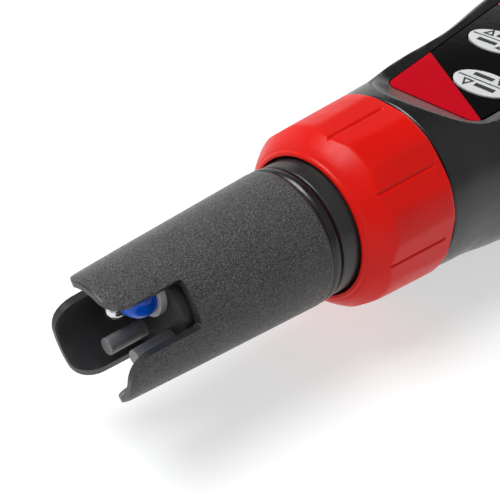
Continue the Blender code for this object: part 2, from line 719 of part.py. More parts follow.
def make_chassis():
    """The inner frame: four battery bores, and a keel with posts under the board."""
    low, high = CELL_CENTRE_Z - BLOCK_HALF, CELL_CENTRE_Z + BLOCK_HALF
    block = box_mesh("chassis", (BLOCK_X[0], -BLOCK_HALF, low), (BLOCK_X[1], BLOCK_HALF, high))
    chassis = add_part("chassis", block, PEN, WHITE)
    keel_low, keel_high = -6.0, -3.0
    plates = [("keel", (36.0, -5.0, keel_low), (80.5, 5.0, keel_high))]
    for number, x in enumerate((44.0, 66.0)):
        top = panel_z(x - 1.5, BOARD_W[0]) - 0.45
        plates.append((f"post_{number + 1}", (x - 1.5, -4.0, keel_high - 1.0), (x + 1.5, 4.0, top)))
    for name, near, far in plates:
        combine(chassis, add_cutter(name, box_mesh(name, near, far), PEN), "UNION")
    for number, (y, z) in enumerate(cell_places()):
        mesh = cylinder_mesh("cell_bore", CELL_R + 0.25, BLOCK_X[0] - 3.0, BLOCK_X[1] + 3.0, 24)
        combine(chassis, add_cutter(f"cell_bore_{number + 1}", mesh, PEN, (0, y, z)))


def make_cells():
    """Four cells; two point each way."""
    body = CELL_LEN - 0.9
    points = [(0.0, 0.0), (0.0, CELL_R - 0.5), (0.3, CELL_R), (body - 0.4, CELL_R),
              (body, CELL_R - 0.7), (body, 1.9), (CELL_LEN - 0.1, 1.9), (CELL_LEN, 1.7),
              (CELL_LEN, 0.0)]
    for number, (y, z) in enumerate(cell_places()):
        if number in (0, 3):
            shape = [(CELL_X + x, r) for x, r in points]
        else:
            shape = [(CELL_X + CELL_LEN - x, r) for x, r in points]
        turned_solid(f"battery_{number + 1}", shape, PEN, CELL_SKIN, (0, y, z))


def spring_curve(name, x0, x1, radius, turns, wire, parent, look, place):
    """A coil spring along the pen, its wire thick enough to stand alone."""
    data = bpy.data.curves.new(name, "CURVE")
    data.dimensions = "3D"
    data.bevel_depth = wire * MM / 2
    data.bevel_resolution = 1
    data.use_fill_caps = True
    line = data.splines.new("POLY")
    count = 11 * turns
    line.points.add(count)
    for k, point in enumerate(line.points):
        t = k / count
        a = 2 * pi * turns * t
        r = radius * (1.0 - 0.35 * t)
        point.co = ((x0 + (x1 - x0) * t) * MM, r * cos(a) * MM, r * sin(a) * MM, 1.0)
    spring = bpy.data.objects.new(name, data)
    spring.location = Vector((0.0, *place)) * MM
    spring.parent = parent
    data.materials.append(look)
    PARTS.objects.link(spring)


def make_contacts():
    """Springs for the cells' flat ends and pads for their tips, on a small board."""
    outline = rounded_box((-11.0, CELL_CENTRE_Z - 11.0), (11.0, CELL_CENTRE_Z + 11.0), 1.5, 3)
    rings = [[(x, y, z) for y, z in outline] for x in (76.8, 78.0)]
    board = add_part("contact_board", loft_mesh("contact_board", rings), PEN, BOARD_GREEN)
    notch = box_mesh("board_notch", (70, -5.4, -6.4), (85, 5.4, -2.6))
    combine(board, add_cutter("board_notch", notch, PEN))
    springs, pads = 0, 0
    for number, (y, z) in enumerate(cell_places()):
        if number in (0, 3):
            springs += 1
            spring_curve(f"contact_spring_{springs}", 78.7, 82.9, 3.4, 3, 0.55, PEN, STEEL, (y, z))
        else:
            pads += 1
            points = [(78.3, 0.0), (78.3, 3.2), (78.8, 3.2), (78.8, 1.6), (83.2, 1.4), (83.2, 0.0)]
            turned_solid(f"contact_pad_{pads}", points, PEN, GOLD, (0, y, z), steps=20)


def make_battery_cap():
    """The end cap: a plug for the case, a domed end and a lanyard eye."""
    base = CASE_END_X + GAP
    levels = [(base - 6.2, 17.1), (base - 6.0, 17.3), (base - 4.2, 17.3), (base - 4.19, 16.2),
              (base - 2.6, 16.2), (base - 2.59, 17.3), (base, 17.3), (base + 0.01, 19.8),
              (base + 0.2, 20.0), (base + 4.5, 19.9), (base + 6.6, 19.2), (base + 8.2, 17.6),
              (base + 9.2, 15.2), (base + 9.7, 11.5)]
    rings = [squircle(x - CASE_END_X, r, r, r, 3.6) for x, r in levels]
    cap = add_part("battery_cap", loft_mesh("battery_cap", rings), HEAD_CAP, BLACK)
    half = CELL_PITCH / 2 + CELL_R + 0.3
    outline = rounded_box((-half, CELL_CENTRE_Z - half), (half, CELL_CENTRE_Z + half), CELL_R)
    recess = loft_mesh("cap_recess", [[(x, y, z) for y, z in outline] for x in (-9.0, 0.5)])
    combine(cap, add_cutter("cap_recess", recess, HEAD_CAP))
    eye = rounded_box((6.0, -6.0), (EYE_END_X - CASE_END_X, 6.0), 3.5)
    combine(cap, add_cutter("eye_lug", prism_mesh("eye_lug", eye, -2.4, 2.4), HEAD_CAP), "UNION")
    outer_edge = EYE_END_X - CASE_END_X - 1.6
    hole = prism_mesh("eye_hole", rounded_box((outer_edge - 4.7, -3.6), (outer_edge, 3.6), 1.3),
                      -6.0, 6.0)
    combine(cap, add_cutter("eye_hole", hole, HEAD_CAP))
    flat = box_mesh("cap_flat", (-20, -30, -40), (30, 30, -AXIS_HEIGHT))
    combine(cap, add_cutter("cap_flat", flat, HEAD_CAP))


def make_cap_seal():
    """The rounded-square O-ring in the cap's groove."""
    data = bpy.data.curves.new("cap_seal", "CURVE")
    data.dimensions = "3D"
    data.bevel_depth = 0.55 * MM
    data.bevel_resolution = 1
    line = data.splines.new("POLY")
    points = squircle(-3.1, 16.95, 16.95, 16.95, 3.6, 40)
    line.points.add(len(points) - 1)
    for target, place in zip(line.points, points):
        target.co = (*(Vector(place) * MM), 1.0)
    line.use_cyclic_u = True
    seal = bpy.data.objects.new("cap_seal", data)
    seal.parent = HEAD_CAP
    data.materials.append(RUBBER)
    PARTS.objects.link(seal)


def make_bridges():
    for number, side in enumerate((-1, 1)):
        y = side * CELL_PITCH / 2
        x = CELL_X + CELL_LEN + 0.4 - CASE_END_X
        low = (x, y - 3.5, CELL_CENTRE_Z - 10.0)
        high = (x + 0.5, y + 3.5, CELL_CENTRE_Z + 10.0)
        bridge = add_part(f"contact_bridge_{number + 1}",
                          box_mesh("contact_bridge", low, high), HEAD_CAP, STEEL)
        soften(bridge, 0.12, segments=1)


def build():
    make_probe_shell()
    make_probe_seals()
    make_sensor_base()
    make_glass_electrode()
    make_rods()
    make_temp_sensor()
    make_probe_plug()
    make_collar_nut()
    housing = make_housing()
    make_overlay(housing)
    make_keys()
    make_membrane()
    make_display()
    make_board()
    make_socket()
    make_chassis()
    make_cells()
    make_contacts()
    make_battery_cap()
    make_cap_seal()
    make_bridges()


build()
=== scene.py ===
"""pH test pen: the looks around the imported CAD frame.

Sizes are millimetres in the pen's own frame, turned into metres by MM: X runs along the pen from
the sensor tip to the head with x = 0 at the guard's O-ring, Z is up. phi goes round the pen's
axis from straight up toward the camera's side.
"""
from math import asin, atan, cos, degrees, pi, radians, sin, sqrt

import bmesh
import bpy
import numpy as np
from mathutils import Matrix, Vector


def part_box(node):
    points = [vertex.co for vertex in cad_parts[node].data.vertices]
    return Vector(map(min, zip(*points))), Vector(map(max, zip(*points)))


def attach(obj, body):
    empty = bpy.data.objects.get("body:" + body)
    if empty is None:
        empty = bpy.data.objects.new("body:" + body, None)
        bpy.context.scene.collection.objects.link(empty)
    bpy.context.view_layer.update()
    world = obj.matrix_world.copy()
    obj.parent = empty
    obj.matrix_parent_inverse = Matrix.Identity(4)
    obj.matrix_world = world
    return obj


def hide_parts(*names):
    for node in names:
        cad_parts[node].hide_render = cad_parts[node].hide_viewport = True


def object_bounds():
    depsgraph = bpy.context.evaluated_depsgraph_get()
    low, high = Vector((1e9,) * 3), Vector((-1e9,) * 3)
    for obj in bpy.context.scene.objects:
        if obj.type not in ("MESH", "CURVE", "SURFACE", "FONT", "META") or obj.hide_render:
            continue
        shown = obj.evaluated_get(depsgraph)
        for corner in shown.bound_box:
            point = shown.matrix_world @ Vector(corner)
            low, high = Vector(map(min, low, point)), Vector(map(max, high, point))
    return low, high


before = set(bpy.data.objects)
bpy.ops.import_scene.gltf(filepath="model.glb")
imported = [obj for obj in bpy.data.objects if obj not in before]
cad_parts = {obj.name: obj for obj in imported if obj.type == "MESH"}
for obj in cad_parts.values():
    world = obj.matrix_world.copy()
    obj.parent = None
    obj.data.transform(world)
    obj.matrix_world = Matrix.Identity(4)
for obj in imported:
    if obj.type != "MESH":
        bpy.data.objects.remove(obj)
CAD_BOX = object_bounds()

MM = 0.001
TIP_X = -33.0               # front end of the guard's longest finger
PEN_X0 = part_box("probe_shell")[0].x - TIP_X * MM
PEN_Z0 = (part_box("guard_ring")[0].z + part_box("guard_ring")[1].z) / 2
PEN_ORIGIN = Vector((PEN_X0, 0.0, PEN_Z0))
FLOOR_Z = CAD_BOX[0].z

# Sloping panel, as in the CAD
PANEL_X, PANEL_Z, PANEL_SLOPE = 24.0, 9.8, 0.119
PANEL_TILT = atan(PANEL_SLOPE)


def pen(x, y, z):
    return PEN_ORIGIN + Vector((x, y, z)) * MM


def panel(x, y, out=0.0):
    """A point over the place x along the pen, `out` above the panel's plane."""
    u = (x - PANEL_X) / cos(PANEL_TILT)
    return pen(PANEL_X + u * cos(PANEL_TILT) - out * sin(PANEL_TILT), y,
               PANEL_Z + u * sin(PANEL_TILT) + out * cos(PANEL_TILT))


# -------------------------------- camera, floor and light

CAMERA_AT = (-138.44, -81.42, 100.01)
CAMERA_AZIMUTH, CAMERA_ELEVATION = -42.705, 35.555
CAMERA_LENS, CAMERA_SENSOR = 72.0, 36.0

ROOM_LEVEL = 0.07           # brightness of the dark part of the room, high up
FRONT_LEVEL = 0.38          # the room on the camera's side fills the shadows
SKY_FADE = (0.49, 0.575)    # the white sweep behind the pen ends between these heights
FAR_FADE = (-0.45, 0.1)     # and begins between these sides of the room, along Y
FRONT_FADE = (-0.55, 0.15)  # the camera's side ends between these
GROUND_FADE = (0.0, 0.06)   # the white below the horizon ends between these heights

FLOOR_HALF = 12.0           # metres
FLOOR_COLOUR = (0.45, 0.46, 0.46, 1.0)
FLOOR_GLOW = 0.56           # the floor is a lit sweep: part of its white comes from below

KEY_LIGHT_FROM, KEY_LIGHT_AIM = (-0.30, 0.20, 0.93), (-0.03, 0.0, 0.0)
KEY_LIGHT_DISTANCE, KEY_LIGHT_SIZE, KEY_LIGHT_POWER = 0.60, 0.34, 3.8


def make_camera():
    az, el = radians(CAMERA_AZIMUTH), radians(CAMERA_ELEVATION)
    back = Vector((sin(az) * cos(el), -cos(az) * cos(el), sin(el)))
    right = Vector((cos(az), sin(az), 0.0))
    up = back.cross(right)
    data = bpy.data.cameras.new("camera")
    data.lens = CAMERA_LENS
    data.sensor_width = CAMERA_SENSOR
    data.clip_start = 0.005
    data.clip_end = 20.0
    camera = bpy.data.objects.new("camera", data)
    turn = Matrix((right, up, back)).transposed().to_4x4()
    camera.matrix_world = Matrix.Translation(Vector(CAMERA_AT) * MM) @ turn
    bpy.context.scene.collection.objects.link(camera)
    bpy.context.scene.camera = camera


def make_world():
    """A white sweep behind the pen and below the horizon, a softer fill on the camera's side,
    and a dark room above them."""
    world = bpy.data.worlds.new("studio")
    world.use_nodes = True
    bpy.context.scene.world = world
    tree = world.node_tree

    def fade(socket, limits, out_low, out_high):
        node = tree.nodes.new("ShaderNodeMapRange")
        node.interpolation_type = "SMOOTHSTEP"
        for key, value in (("From Min", limits[0]), ("From Max", limits[1]),
                           ("To Min", out_low), ("To Max", out_high)):
            node.inputs[key].default_value = value
        tree.links.new(socket, node.inputs["Value"])
        return node.outputs["Result"]

    def join(operation, first, second):
        node = tree.nodes.new("ShaderNodeMath")
        node.operation = operation
        tree.links.new(first, node.inputs[0])
        tree.links.new(second, node.inputs[1])
        return node.outputs[0]

    coords = tree.nodes.new("ShaderNodeTexCoord")
    split = tree.nodes.new("ShaderNodeSeparateXYZ")
    tree.links.new(coords.outputs["Generated"], split.inputs[0])
    low_sky = fade(split.outputs["Z"], SKY_FADE, 1.0, ROOM_LEVEL)
    far_side = fade(split.outputs["Y"], FAR_FADE, ROOM_LEVEL, 1.0)
    sweep = join("MULTIPLY", low_sky, far_side)
    ground = fade(split.outputs["Z"], GROUND_FADE, 1.0, 0.0)
    front = fade(split.outputs["Y"], FRONT_FADE, FRONT_LEVEL, ROOM_LEVEL)
    level = join("MAXIMUM", join("MAXIMUM", sweep, ground), front)
    background = tree.nodes["Background"]
    tree.links.new(level, background.inputs["Color"])
    background.inputs["Strength"].default_value = 1.0


def make_floor():
    mesh = bpy.data.meshes.new("floor")
    corners = ((-1, -1), (1, -1), (1, 1), (-1, 1))
    mesh.from_pydata([(x * FLOOR_HALF, y * FLOOR_HALF, FLOOR_Z) for x, y in corners], [],
                     [(0, 1, 2, 3)])
    floor = bpy.data.objects.new("floor", mesh)
    bpy.context.scene.collection.objects.link(floor)
    look = bpy.data.materials.new("floor_white")
    look.use_nodes = True
    shader = look.node_tree.nodes["Principled BSDF"]
    shader.inputs["Base Color"].default_value = FLOOR_COLOUR
    shader.inputs["Roughness"].default_value = 0.8
    shader.inputs["Specular IOR Level"].default_value = 0.1
    shader.inputs["Emission Color"].default_value = (1.0, 1.0, 1.0, 1.0)
    shader.inputs["Emission Strength"].default_value = FLOOR_GLOW
    mesh.materials.append(look)


def make_key_light():
    data = bpy.data.lights.new("key", "AREA")
    data.shape = "RECTANGLE"
    data.size = data.size_y = KEY_LIGHT_SIZE
    data.energy = KEY_LIGHT_POWER
    light = bpy.data.objects.new("key", data)
    aim = Vector(KEY_LIGHT_AIM)
    place = aim + Vector(KEY_LIGHT_FROM).normalized() * KEY_LIGHT_DISTANCE
    light.location = place
    light.rotation_mode = "QUATERNION"
    light.rotation_quaternion = (place - aim).to_track_quat("Z", "Y")
    bpy.context.scene.collection.objects.link(light)


def make_studio():
    make_camera()
    make_world()
    make_floor()
    make_key_light()
    bpy.context.scene.view_settings.view_transform = "Standard"


make_studio()


# -------------------------------- materials

NOISE_RANGE = (0.3, 0.7)    # most of a noise texture's values lie between these
GLOSS_SPREAD = 0.06         # how far a moulded plastic's roughness wanders either way


class Nodes:
    """A short way to add nodes: sockets are linked, other values are set."""

    def __init__(self, name):
        self.material = bpy.data.materials.new(name)
        self.material.use_nodes = True
        self.tree = self.material.node_tree
        self.shader = self.tree.nodes["Principled BSDF"]
        self.place = self.add("ShaderNodeTexCoord").outputs["Object"]

    def add(self, kind, settings=None, **inputs):
        node = self.tree.nodes.new(kind)
        for key, value in (settings or {}).items():
            setattr(node, key, value)
        for key, value in inputs.items():
            self.put(node.inputs[key.replace("_", " ")], value)
        return node

    def put(self, socket, value):
        if isinstance(value, bpy.types.NodeSocket):
            self.tree.links.new(value, socket)
        else:
            socket.default_value = value

    def noise(self, size_mm, detail=2.0, roughness=0.5, place=None):
        node = self.add("ShaderNodeTexNoise", Scale=1.0 / (size_mm * MM), Detail=detail,
                        Roughness=roughness, Vector=place or self.place)
        return node.outputs["Fac"]

    def vary(self, noise, low, high, limits=NOISE_RANGE):
        """A value that goes from low to high as the noise goes through its limits."""
        node = self.add("ShaderNodeMapRange", {"clamp": True}, Value=noise, From_Min=limits[0],
                        From_Max=limits[1], To_Min=low, To_Max=high)
        return node.outputs["Result"]

    def mix(self, share, colour_a, colour_b):
        node = self.add("ShaderNodeMix", {"data_type": "RGBA"})
        self.put(node.inputs[0], share)
        self.put(node.inputs[6], colour_a)
        self.put(node.inputs[7], colour_b)
        return node.outputs[2]

    def mottle(self, noise, dark, light, limits=NOISE_RANGE):
        """A colour that goes from dark to light as the noise goes through its limits."""
        return self.mix(self.vary(noise, 0.0, 1.0, limits), dark, light)

    def bump(self, height, depth_mm, below=None):
        node = self.add("ShaderNodeBump", Height=height, Distance=depth_mm * MM, Strength=1.0)
        if below is not None:
            self.put(node.inputs["Normal"], below)
        return node.outputs["Normal"]

    def principled(self, **inputs):
        for key, value in inputs.items():
            self.put(self.shader.inputs[key.replace("_", " ")], value)
        return self.material


def shade(colour, factor):
    return (*(min(1.0, c * factor) for c in colour), 1.0)


def moulded(name, colour, roughness, grain_mm, grain_depth_mm, mottle, detail=2.0, specular=0.5):
    """Moulded plastic: fine spark-eroded grain, faint mottling and uneven gloss."""
    n = Nodes(name)
    grain = n.noise(grain_mm, detail, 0.6)
    wide = n.noise(6.0, 3.0, 0.55)
    tone = n.mottle(wide, shade(colour, 1 - mottle), shade(colour, 1 + mottle))
    gloss = n.vary(n.noise(1.8, 3.0, 0.6), roughness - GLOSS_SPREAD, roughness + GLOSS_SPREAD)
    return n.principled(Base_Color=tone, Roughness=gloss, Normal=n.bump(grain, grain_depth_mm),
                        Specular_IOR_Level=specular)


def guard_plastic_with_painted_glints():
    """Dark grey guard: coarse spark-eroded grain, with painted glints: light specks in its colour
    stand in for its facets glinting under the key light.
    """
    n = Nodes("guard_plastic_with_painted_glints")
    grain = n.noise(0.45, 2.0, 0.7)
    fine = n.noise(0.17, 2.0, 0.6)
    wide = n.noise(5.0, 3.0, 0.55)
    # Painted glints: the fine noise scatters light grey specks over the dark grey, standing in for
    # the sparkle of the grain's facets in the key light.
    tone = n.mottle(wide, (0.118, 0.118, 0.119, 1), (0.142, 0.142, 0.144, 1))
    painted_glint_colour = n.mottle(fine, (0.030, 0.030, 0.0305, 1), tone, (0.42, 0.70))
    relief = n.bump(fine, 0.08, n.bump(grain, 0.16))
    gloss = n.vary(grain, 0.24, 0.42, (0.35, 0.65))
    return n.principled(Base_Color=painted_glint_colour, Roughness=gloss, Normal=relief,
                        Specular_IOR_Level=0.16)


def rubber():
    n = Nodes("black_rubber")
    wide = n.noise(1.5, 3.0)
    tone = n.mottle(wide, (0.003, 0.003, 0.003, 1), (0.006, 0.006, 0.006, 1))
    return n.principled(Base_Color=tone, Roughness=n.vary(wide, 0.22, 0.36),
                        Normal=n.bump(n.noise(0.4), 0.008))


def metal(name, colour, roughness):
    """Drawn or turned metal with fine lines along the pen."""
    n = Nodes(name)
    stretch = n.add("ShaderNodeMapping", Vector=n.place)
    stretch.inputs["Scale"].default_value = (0.06, 1.0, 1.0)
    lines = n.noise(0.16, 2.0, 0.6, stretch.outputs["Vector"])
    tone = n.mottle(lines, shade(colour, 0.88), shade(colour, 1))
    return n.principled(Base_Color=tone, Metallic=1.0, Normal=n.bump(lines, 0.004),
                        Roughness=n.vary(lines, roughness * 0.8, roughness * 1.2))


def graphite():
    n = Nodes("graphite")
    grain = n.noise(0.22, 3.0, 0.6)
    tone = n.mottle(grain, (0.15, 0.15, 0.153, 1), (0.25, 0.25, 0.255, 1))
    return n.principled(Base_Color=tone, Metallic=0.2, Normal=n.bump(grain, 0.012),
                        Roughness=n.vary(grain, 0.38, 0.55))


def blue_glass():
    n = Nodes("blue_glass")
    wide = n.noise(2.5, 2.0)
    tone = n.mottle(wide, (0.0, 0.07, 0.60, 1), (0.0, 0.16, 0.95, 1), (0.35, 0.65))
    return n.principled(Base_Color=tone, Roughness=n.vary(wide, 0.03, 0.10),
                        Transmission_Weight=0.25, IOR=1.45, Specular_IOR_Level=0.25,
                        Normal=n.bump(wide, 0.02))


def ceramic():
    n = Nodes("junction_ceramic")
    pores = n.noise(0.18, 3.0, 0.7)
    tone = n.mottle(pores, (0.36, 0.355, 0.35, 1), (0.58, 0.575, 0.57, 1), (0.35, 0.65))
    return n.principled(Base_Color=tone, Roughness=n.vary(pores, 0.5, 0.75),
                        Normal=n.bump(pores, 0.03))


def film(name, colour, roughness):
    """Printed polyester film: a clear gloss over flat ink, with a faint orange peel."""
    n = Nodes(name)
    tone = n.mottle(n.noise(9.0, 2.0), shade(colour, 0.93), shade(colour, 1.05))
    return n.principled(Base_Color=tone, Normal=n.bump(n.noise(1.6, 2.0), 0.006),
                        Roughness=n.vary(n.noise(3.0), roughness * 0.8, roughness * 1.25))


def clear_window():
    n = Nodes("clear_window")
    haze = n.noise(8.0, 2.0)
    return n.principled(Base_Color=n.mix(haze, (0.93, 0.95, 0.95, 1), (0.98, 0.99, 0.99, 1)),
                        Transmission_Weight=1.0, IOR=1.45, Roughness=n.vary(haze, 0.0, 0.04))


def display_glass():
    """A sleeping display: grey-green with the faint cross-hatch of its polariser."""
    n = Nodes("display_glass")
    wave = n.add("ShaderNodeTexWave", {"wave_type": "BANDS"}, Vector=n.place, Scale=900.0,
                 Distortion=0.0)
    tone = n.mix(wave.outputs["Fac"], (0.30, 0.34, 0.27, 1), (0.33, 0.37, 0.30, 1))
    return n.principled(Base_Color=tone, Roughness=n.vary(n.noise(3.0), 0.16, 0.24))


LOOKS = {
    "guard": guard_plastic_with_painted_glints(),
    "guard_smooth": moulded("guard_smooth", (0.017, 0.017, 0.0175), 0.33, 0.6, 0.012,
                            mottle=0.15, specular=0.45),
    "red": moulded("collar_red", (0.60, 0.005, 0.002), 0.34, 0.45, 0.003, mottle=0.04,
                   detail=1.0, specular=0.17),
    "black": moulded("case_black", (0.009, 0.0093, 0.010), 0.28, 0.28, 0.012, mottle=0.10),
    "rubber": rubber(),
    "film": film("label_film", (0.0006, 0.0006, 0.0008), 0.05),
    "red_ink": film("red_ink", (0.46, 0.0006, 0.009), 0.05),
    "key": moulded("key_grey", (0.53, 0.54, 0.545), 0.42, 0.35, 0.012, mottle=0.03),
    "key_ink": moulded("key_ink", (0.012, 0.012, 0.013), 0.45, 0.3, 0.006, mottle=0.08),
    "window": clear_window(),
    "display": display_glass(),
    "white": moulded("white_plastic", (0.70, 0.70, 0.68), 0.5, 0.4, 0.012, mottle=0.04),
    "board": moulded("board_green", (0.012, 0.12, 0.05), 0.35, 0.5, 0.01, mottle=0.18),
    "chip": moulded("chip_black", (0.022, 0.022, 0.023), 0.5, 0.25, 0.02, mottle=0.1),
    "steel": metal("steel", (0.72, 0.72, 0.73), 0.16),
    "gold": metal("contact_gold", (0.85, 0.62, 0.25), 0.25),
    "silver": metal("silver_wire", (0.72, 0.70, 0.66), 0.3),
    "glass": blue_glass(),
    "ceramic": ceramic(),
    "graphite": graphite(),
    "cell": moulded("cell_skin", (0.10, 0.13, 0.22), 0.3, 0.9, 0.008, mottle=0.15),
}

NODE_LOOKS = {
    "housing": "black", "battery_cap": "black", "panel_overlay": "film",
    "collar_nut": "red", "probe_shell": "guard", "sensor_base": "guard_smooth",
    "guard_ring": "rubber", "flange_seal": "rubber", "bulkhead_ring": "rubber",
    "cap_seal": "rubber", "key_membrane": "rubber",
    "key_mode": "key", "key_temp": "key", "key_power": "key",
    "lcd_window": "window", "lcd_module": "display", "lcd_backlight": "white",
    "main_board": "board", "contact_board": "board", "mcu_chip": "chip",
    "probe_socket": "chip", "probe_plug": "chip", "thermistor": "chip",
    "tact_switch_mode": "steel", "tact_switch_temp": "steel", "tact_switch_power": "steel",
    "chassis": "white", "contact_spring_1": "steel", "contact_spring_2": "steel",
    "contact_bridge_1": "steel", "contact_bridge_2": "steel", "temp_tube": "steel",
    "contact_pad_1": "gold", "contact_pad_2": "gold",
    "inner_electrode": "silver", "reference_wire": "silver",
    "glass_electrode": "glass", "junction_ring": "ceramic",
    "graphite_rod_1": "graphite", "graphite_rod_2": "graphite",
    "battery_1": "cell", "battery_2": "cell", "battery_3": "cell", "battery_4": "cell",
}
FLAT_NODES = ("lcd_window", "lcd_module", "lcd_backlight", "panel_overlay", "main_board",
              "contact_board", "mcu_chip", "key_membrane")
CURVE_ANGLE = 36.0          # CAD facets that meet at less than this stand for a curve


def smooth_by_angle():
    """A modifier tree that shades the facets of a CAD mesh as the curves they stand for."""
    tree = bpy.data.node_groups.new("smooth_by_angle", "GeometryNodeTree")
    for direction in ("INPUT", "OUTPUT"):
        tree.interface.new_socket(name="Geometry", in_out=direction,
                                  socket_type="NodeSocketGeometry")
    enter, leave = tree.nodes.new("NodeGroupInput"), tree.nodes.new("NodeGroupOutput")
    weld = tree.nodes.new("GeometryNodeMergeByDistance")
    weld.inputs["Distance"].default_value = 0.001 * MM
    faces = tree.nodes.new("GeometryNodeSetShadeSmooth")
    edges = tree.nodes.new("GeometryNodeSetShadeSmooth")
    edges.domain = "EDGE"
    angle = tree.nodes.new("GeometryNodeInputMeshEdgeAngle")
    soft = tree.nodes.new("FunctionNodeCompare")
    soft.operation = "LESS_THAN"
    soft.inputs["B"].default_value = radians(CURVE_ANGLE)
    for source, target in ((enter.outputs[0], weld.inputs["Geometry"]),
                           (weld.outputs["Geometry"], faces.inputs["Geometry"]),
                           (faces.outputs["Geometry"], edges.inputs["Geometry"]),
                           (angle.outputs["Unsigned Angle"], soft.inputs["A"]),
                           (soft.outputs["Result"], edges.inputs["Shade Smooth"]),
                           (edges.outputs["Geometry"], leave.inputs[0])):
        tree.links.new(source, target)
    return tree


def dress_cad_nodes():
    smooth = smooth_by_angle()
    for name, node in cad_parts.items():
        node.data.materials.clear()
        node.data.materials.append(LOOKS[NODE_LOOKS[name]])
        if name not in FLAT_NODES:
            node.modifiers.new("smooth", "NODES").node_group = smooth
            node.modifiers.new("weigh", "WEIGHTED_NORMAL").keep_sharp = True


dress_cad_nodes()


# -------------------------------- mesh helpers

CUT_SOFT_ANGLE = 38.0


def closed_mesh(name, verts, faces):
    """A new object in the scene whose faces all look outward."""
    mesh = bpy.data.meshes.new(name)
    mesh.from_pydata([tuple(v) for v in verts], [], faces)
    bm = bmesh.new()
    bm.from_mesh(mesh)
    bmesh.ops.recalc_face_normals(bm, faces=bm.faces)
    bm.to_mesh(mesh)
    bm.free()
    made = bpy.data.objects.new(name, mesh)
    bpy.context.scene.collection.objects.link(made)
    return made


def soften(mesh, soft_angle):
    """Smooth shading, apart from edges sharper than soft_angle degrees."""
    mesh.shade_smooth()
    mesh.set_sharp_from_angle(angle=radians(soft_angle))


def piece(name, verts, faces, look, body, nodes=(), soft_angle=40.0):
    """A closed mesh in the pen's frame that rides on a body and may stand for CAD nodes."""
    made = closed_mesh(name, verts, faces)
    soften(made.data, soft_angle)
    made.data.materials.append(LOOKS[look])
    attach(made, body)
    if nodes:
        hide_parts(*nodes)
    return made


def strip(first, second, closed=True):
    """Quads between two rows of vertex numbers."""
    pairs = list(zip(first, first[1:], second[1:], second))
    if closed:
        pairs.append((first[-1], first[0], second[0], second[-1]))
    return pairs


def loft(rings):
    """Vertices and faces of a tube through rings of equally many points, closed on itself."""
    size = len(rings[0])
    verts = [point for ring in rings for point in ring]
    rows = [list(range(k * size, (k + 1) * size)) for k in range(len(rings))]
    faces = []
    for first, second in zip(rows, rows[1:] + rows[:1]):
        faces.extend(strip(first, second))
    return verts, faces


def round_about(x, r, phi):
    """A point at radius r and angle phi round the pen's axis."""
    return pen(x, -r * sin(phi), r * cos(phi))


def revolve(name, points, look, body, nodes=(), at=(0.0, 0.0), steps=96):
    """A closed profile of (x, radius) turned round an axis at (y, z).

    The copies of a point on the axis share one vertex.
    """
    verts, rows = [], []
    for x, r in points:
        if r == 0.0:
            rows.append([len(verts)] * steps)
            verts.append(pen(x, at[0], at[1]))
            continue
        rows.append(list(range(len(verts), len(verts) + steps)))
        turns = [2 * pi * k / steps for k in range(steps)]
        verts += [pen(x, at[0] + r * cos(a), at[1] + r * sin(a)) for a in turns]
    faces = []
    for near, far in zip(rows, rows[1:] + rows[:1]):
        for quad in strip(near, far):
            corners = list(dict.fromkeys(quad))
            if len(corners) > 2:
                faces.append(corners)
    return piece(name, verts, faces, look, body, nodes)


def fillet(points, radius, steps=4):
    """Rounds each inner corner of an open profile; `radius` is cut back where edges are short."""
    out = [points[0]]
    for before, corner, after in zip(points, points[1:], points[2:]):
        b, c, a = Vector(before), Vector(corner), Vector(after)
        near, far = b - c, a - c
        reach = min(radius, near.length * 0.45, far.length * 0.45)
        p, q = c + near.normalized() * reach, c + far.normalized() * reach
        for k in range(steps + 1):
            t = k / steps
            out.append(tuple(p * (1 - t) ** 2 + c * 2 * t * (1 - t) + q * t * t))
    return out + [points[-1]]


def soft_min(a, b, k):
    """The smaller of two values, blended over a band k wide."""
    h = np.clip(0.5 + 0.5 * (b - a) / k, 0.0, 1.0)
    return b * (1 - h) + a * h - k * h * (1 - h)


def cut(made, cutters):
    """Cut holes with exact booleans and keep the result as the piece's mesh."""
    for tool in cutters:
        change = made.modifiers.new(tool.name, "BOOLEAN")
        change.operation = "DIFFERENCE"
        change.solver = "EXACT"
        change.object = tool
    graph = bpy.context.evaluated_depsgraph_get()
    mesh = bpy.data.meshes.new_from_object(made.evaluated_get(graph))
    made.modifiers.clear()
    made.data = mesh
    soften(mesh, CUT_SOFT_ANGLE)
    for tool in cutters:
        bpy.data.objects.remove(tool)


# -------------------------------- sensor guard

GUARD_R, GUARD_TAPER, GUARD_WALL, BORE_R = 10.4, 0.0605, 1.3, 7.7
BORE_START = 12.0           # the fingers' inner side turns into the bore this far from the tip
THIN_AT = 2.0               # the wall is GUARD_WALL thick this far from the tip
LIP = 1.1                   # the fingers' ends are rounded over this length,
LIP_OUTSIDE, LIP_INSIDE = 0.30, 0.18    # this deep
PITCH = 120.0
SLOT_MIDDLES = (56.0, 176.0, 296.0)
SLOT_END_X, SLOT_HALF = -21.8, 21.5
SLOT_CORNER, SLOT_CORNER_DEG = 0.6, 3.9     # round corners at a slot's closed end
CORNER_X, CORNER_DEG = 3.8, 21.5            # round corners at a finger's free end
SHORTER = (0.7, 0.0, 1.1)   # how much shorter each finger is than the longest, in the photo
FINGER_COLS, SLOT_COLS = 36, 12
TIP_ANGLES = (90, 84, 77, 69, 60, 50, 39, 27, 14)
BASE_ANGLES = (0, 20, 40, 58, 74)
MIDDLE_STEP, MIDDLE_COUNT = 1.1, 7
RIM_BEVEL, RIM_ANGLE = 0.24, 32.0
NECK_X = -0.5               # the grain ends here
SKIN = 0.25                 # faces further in than this are not on the outside

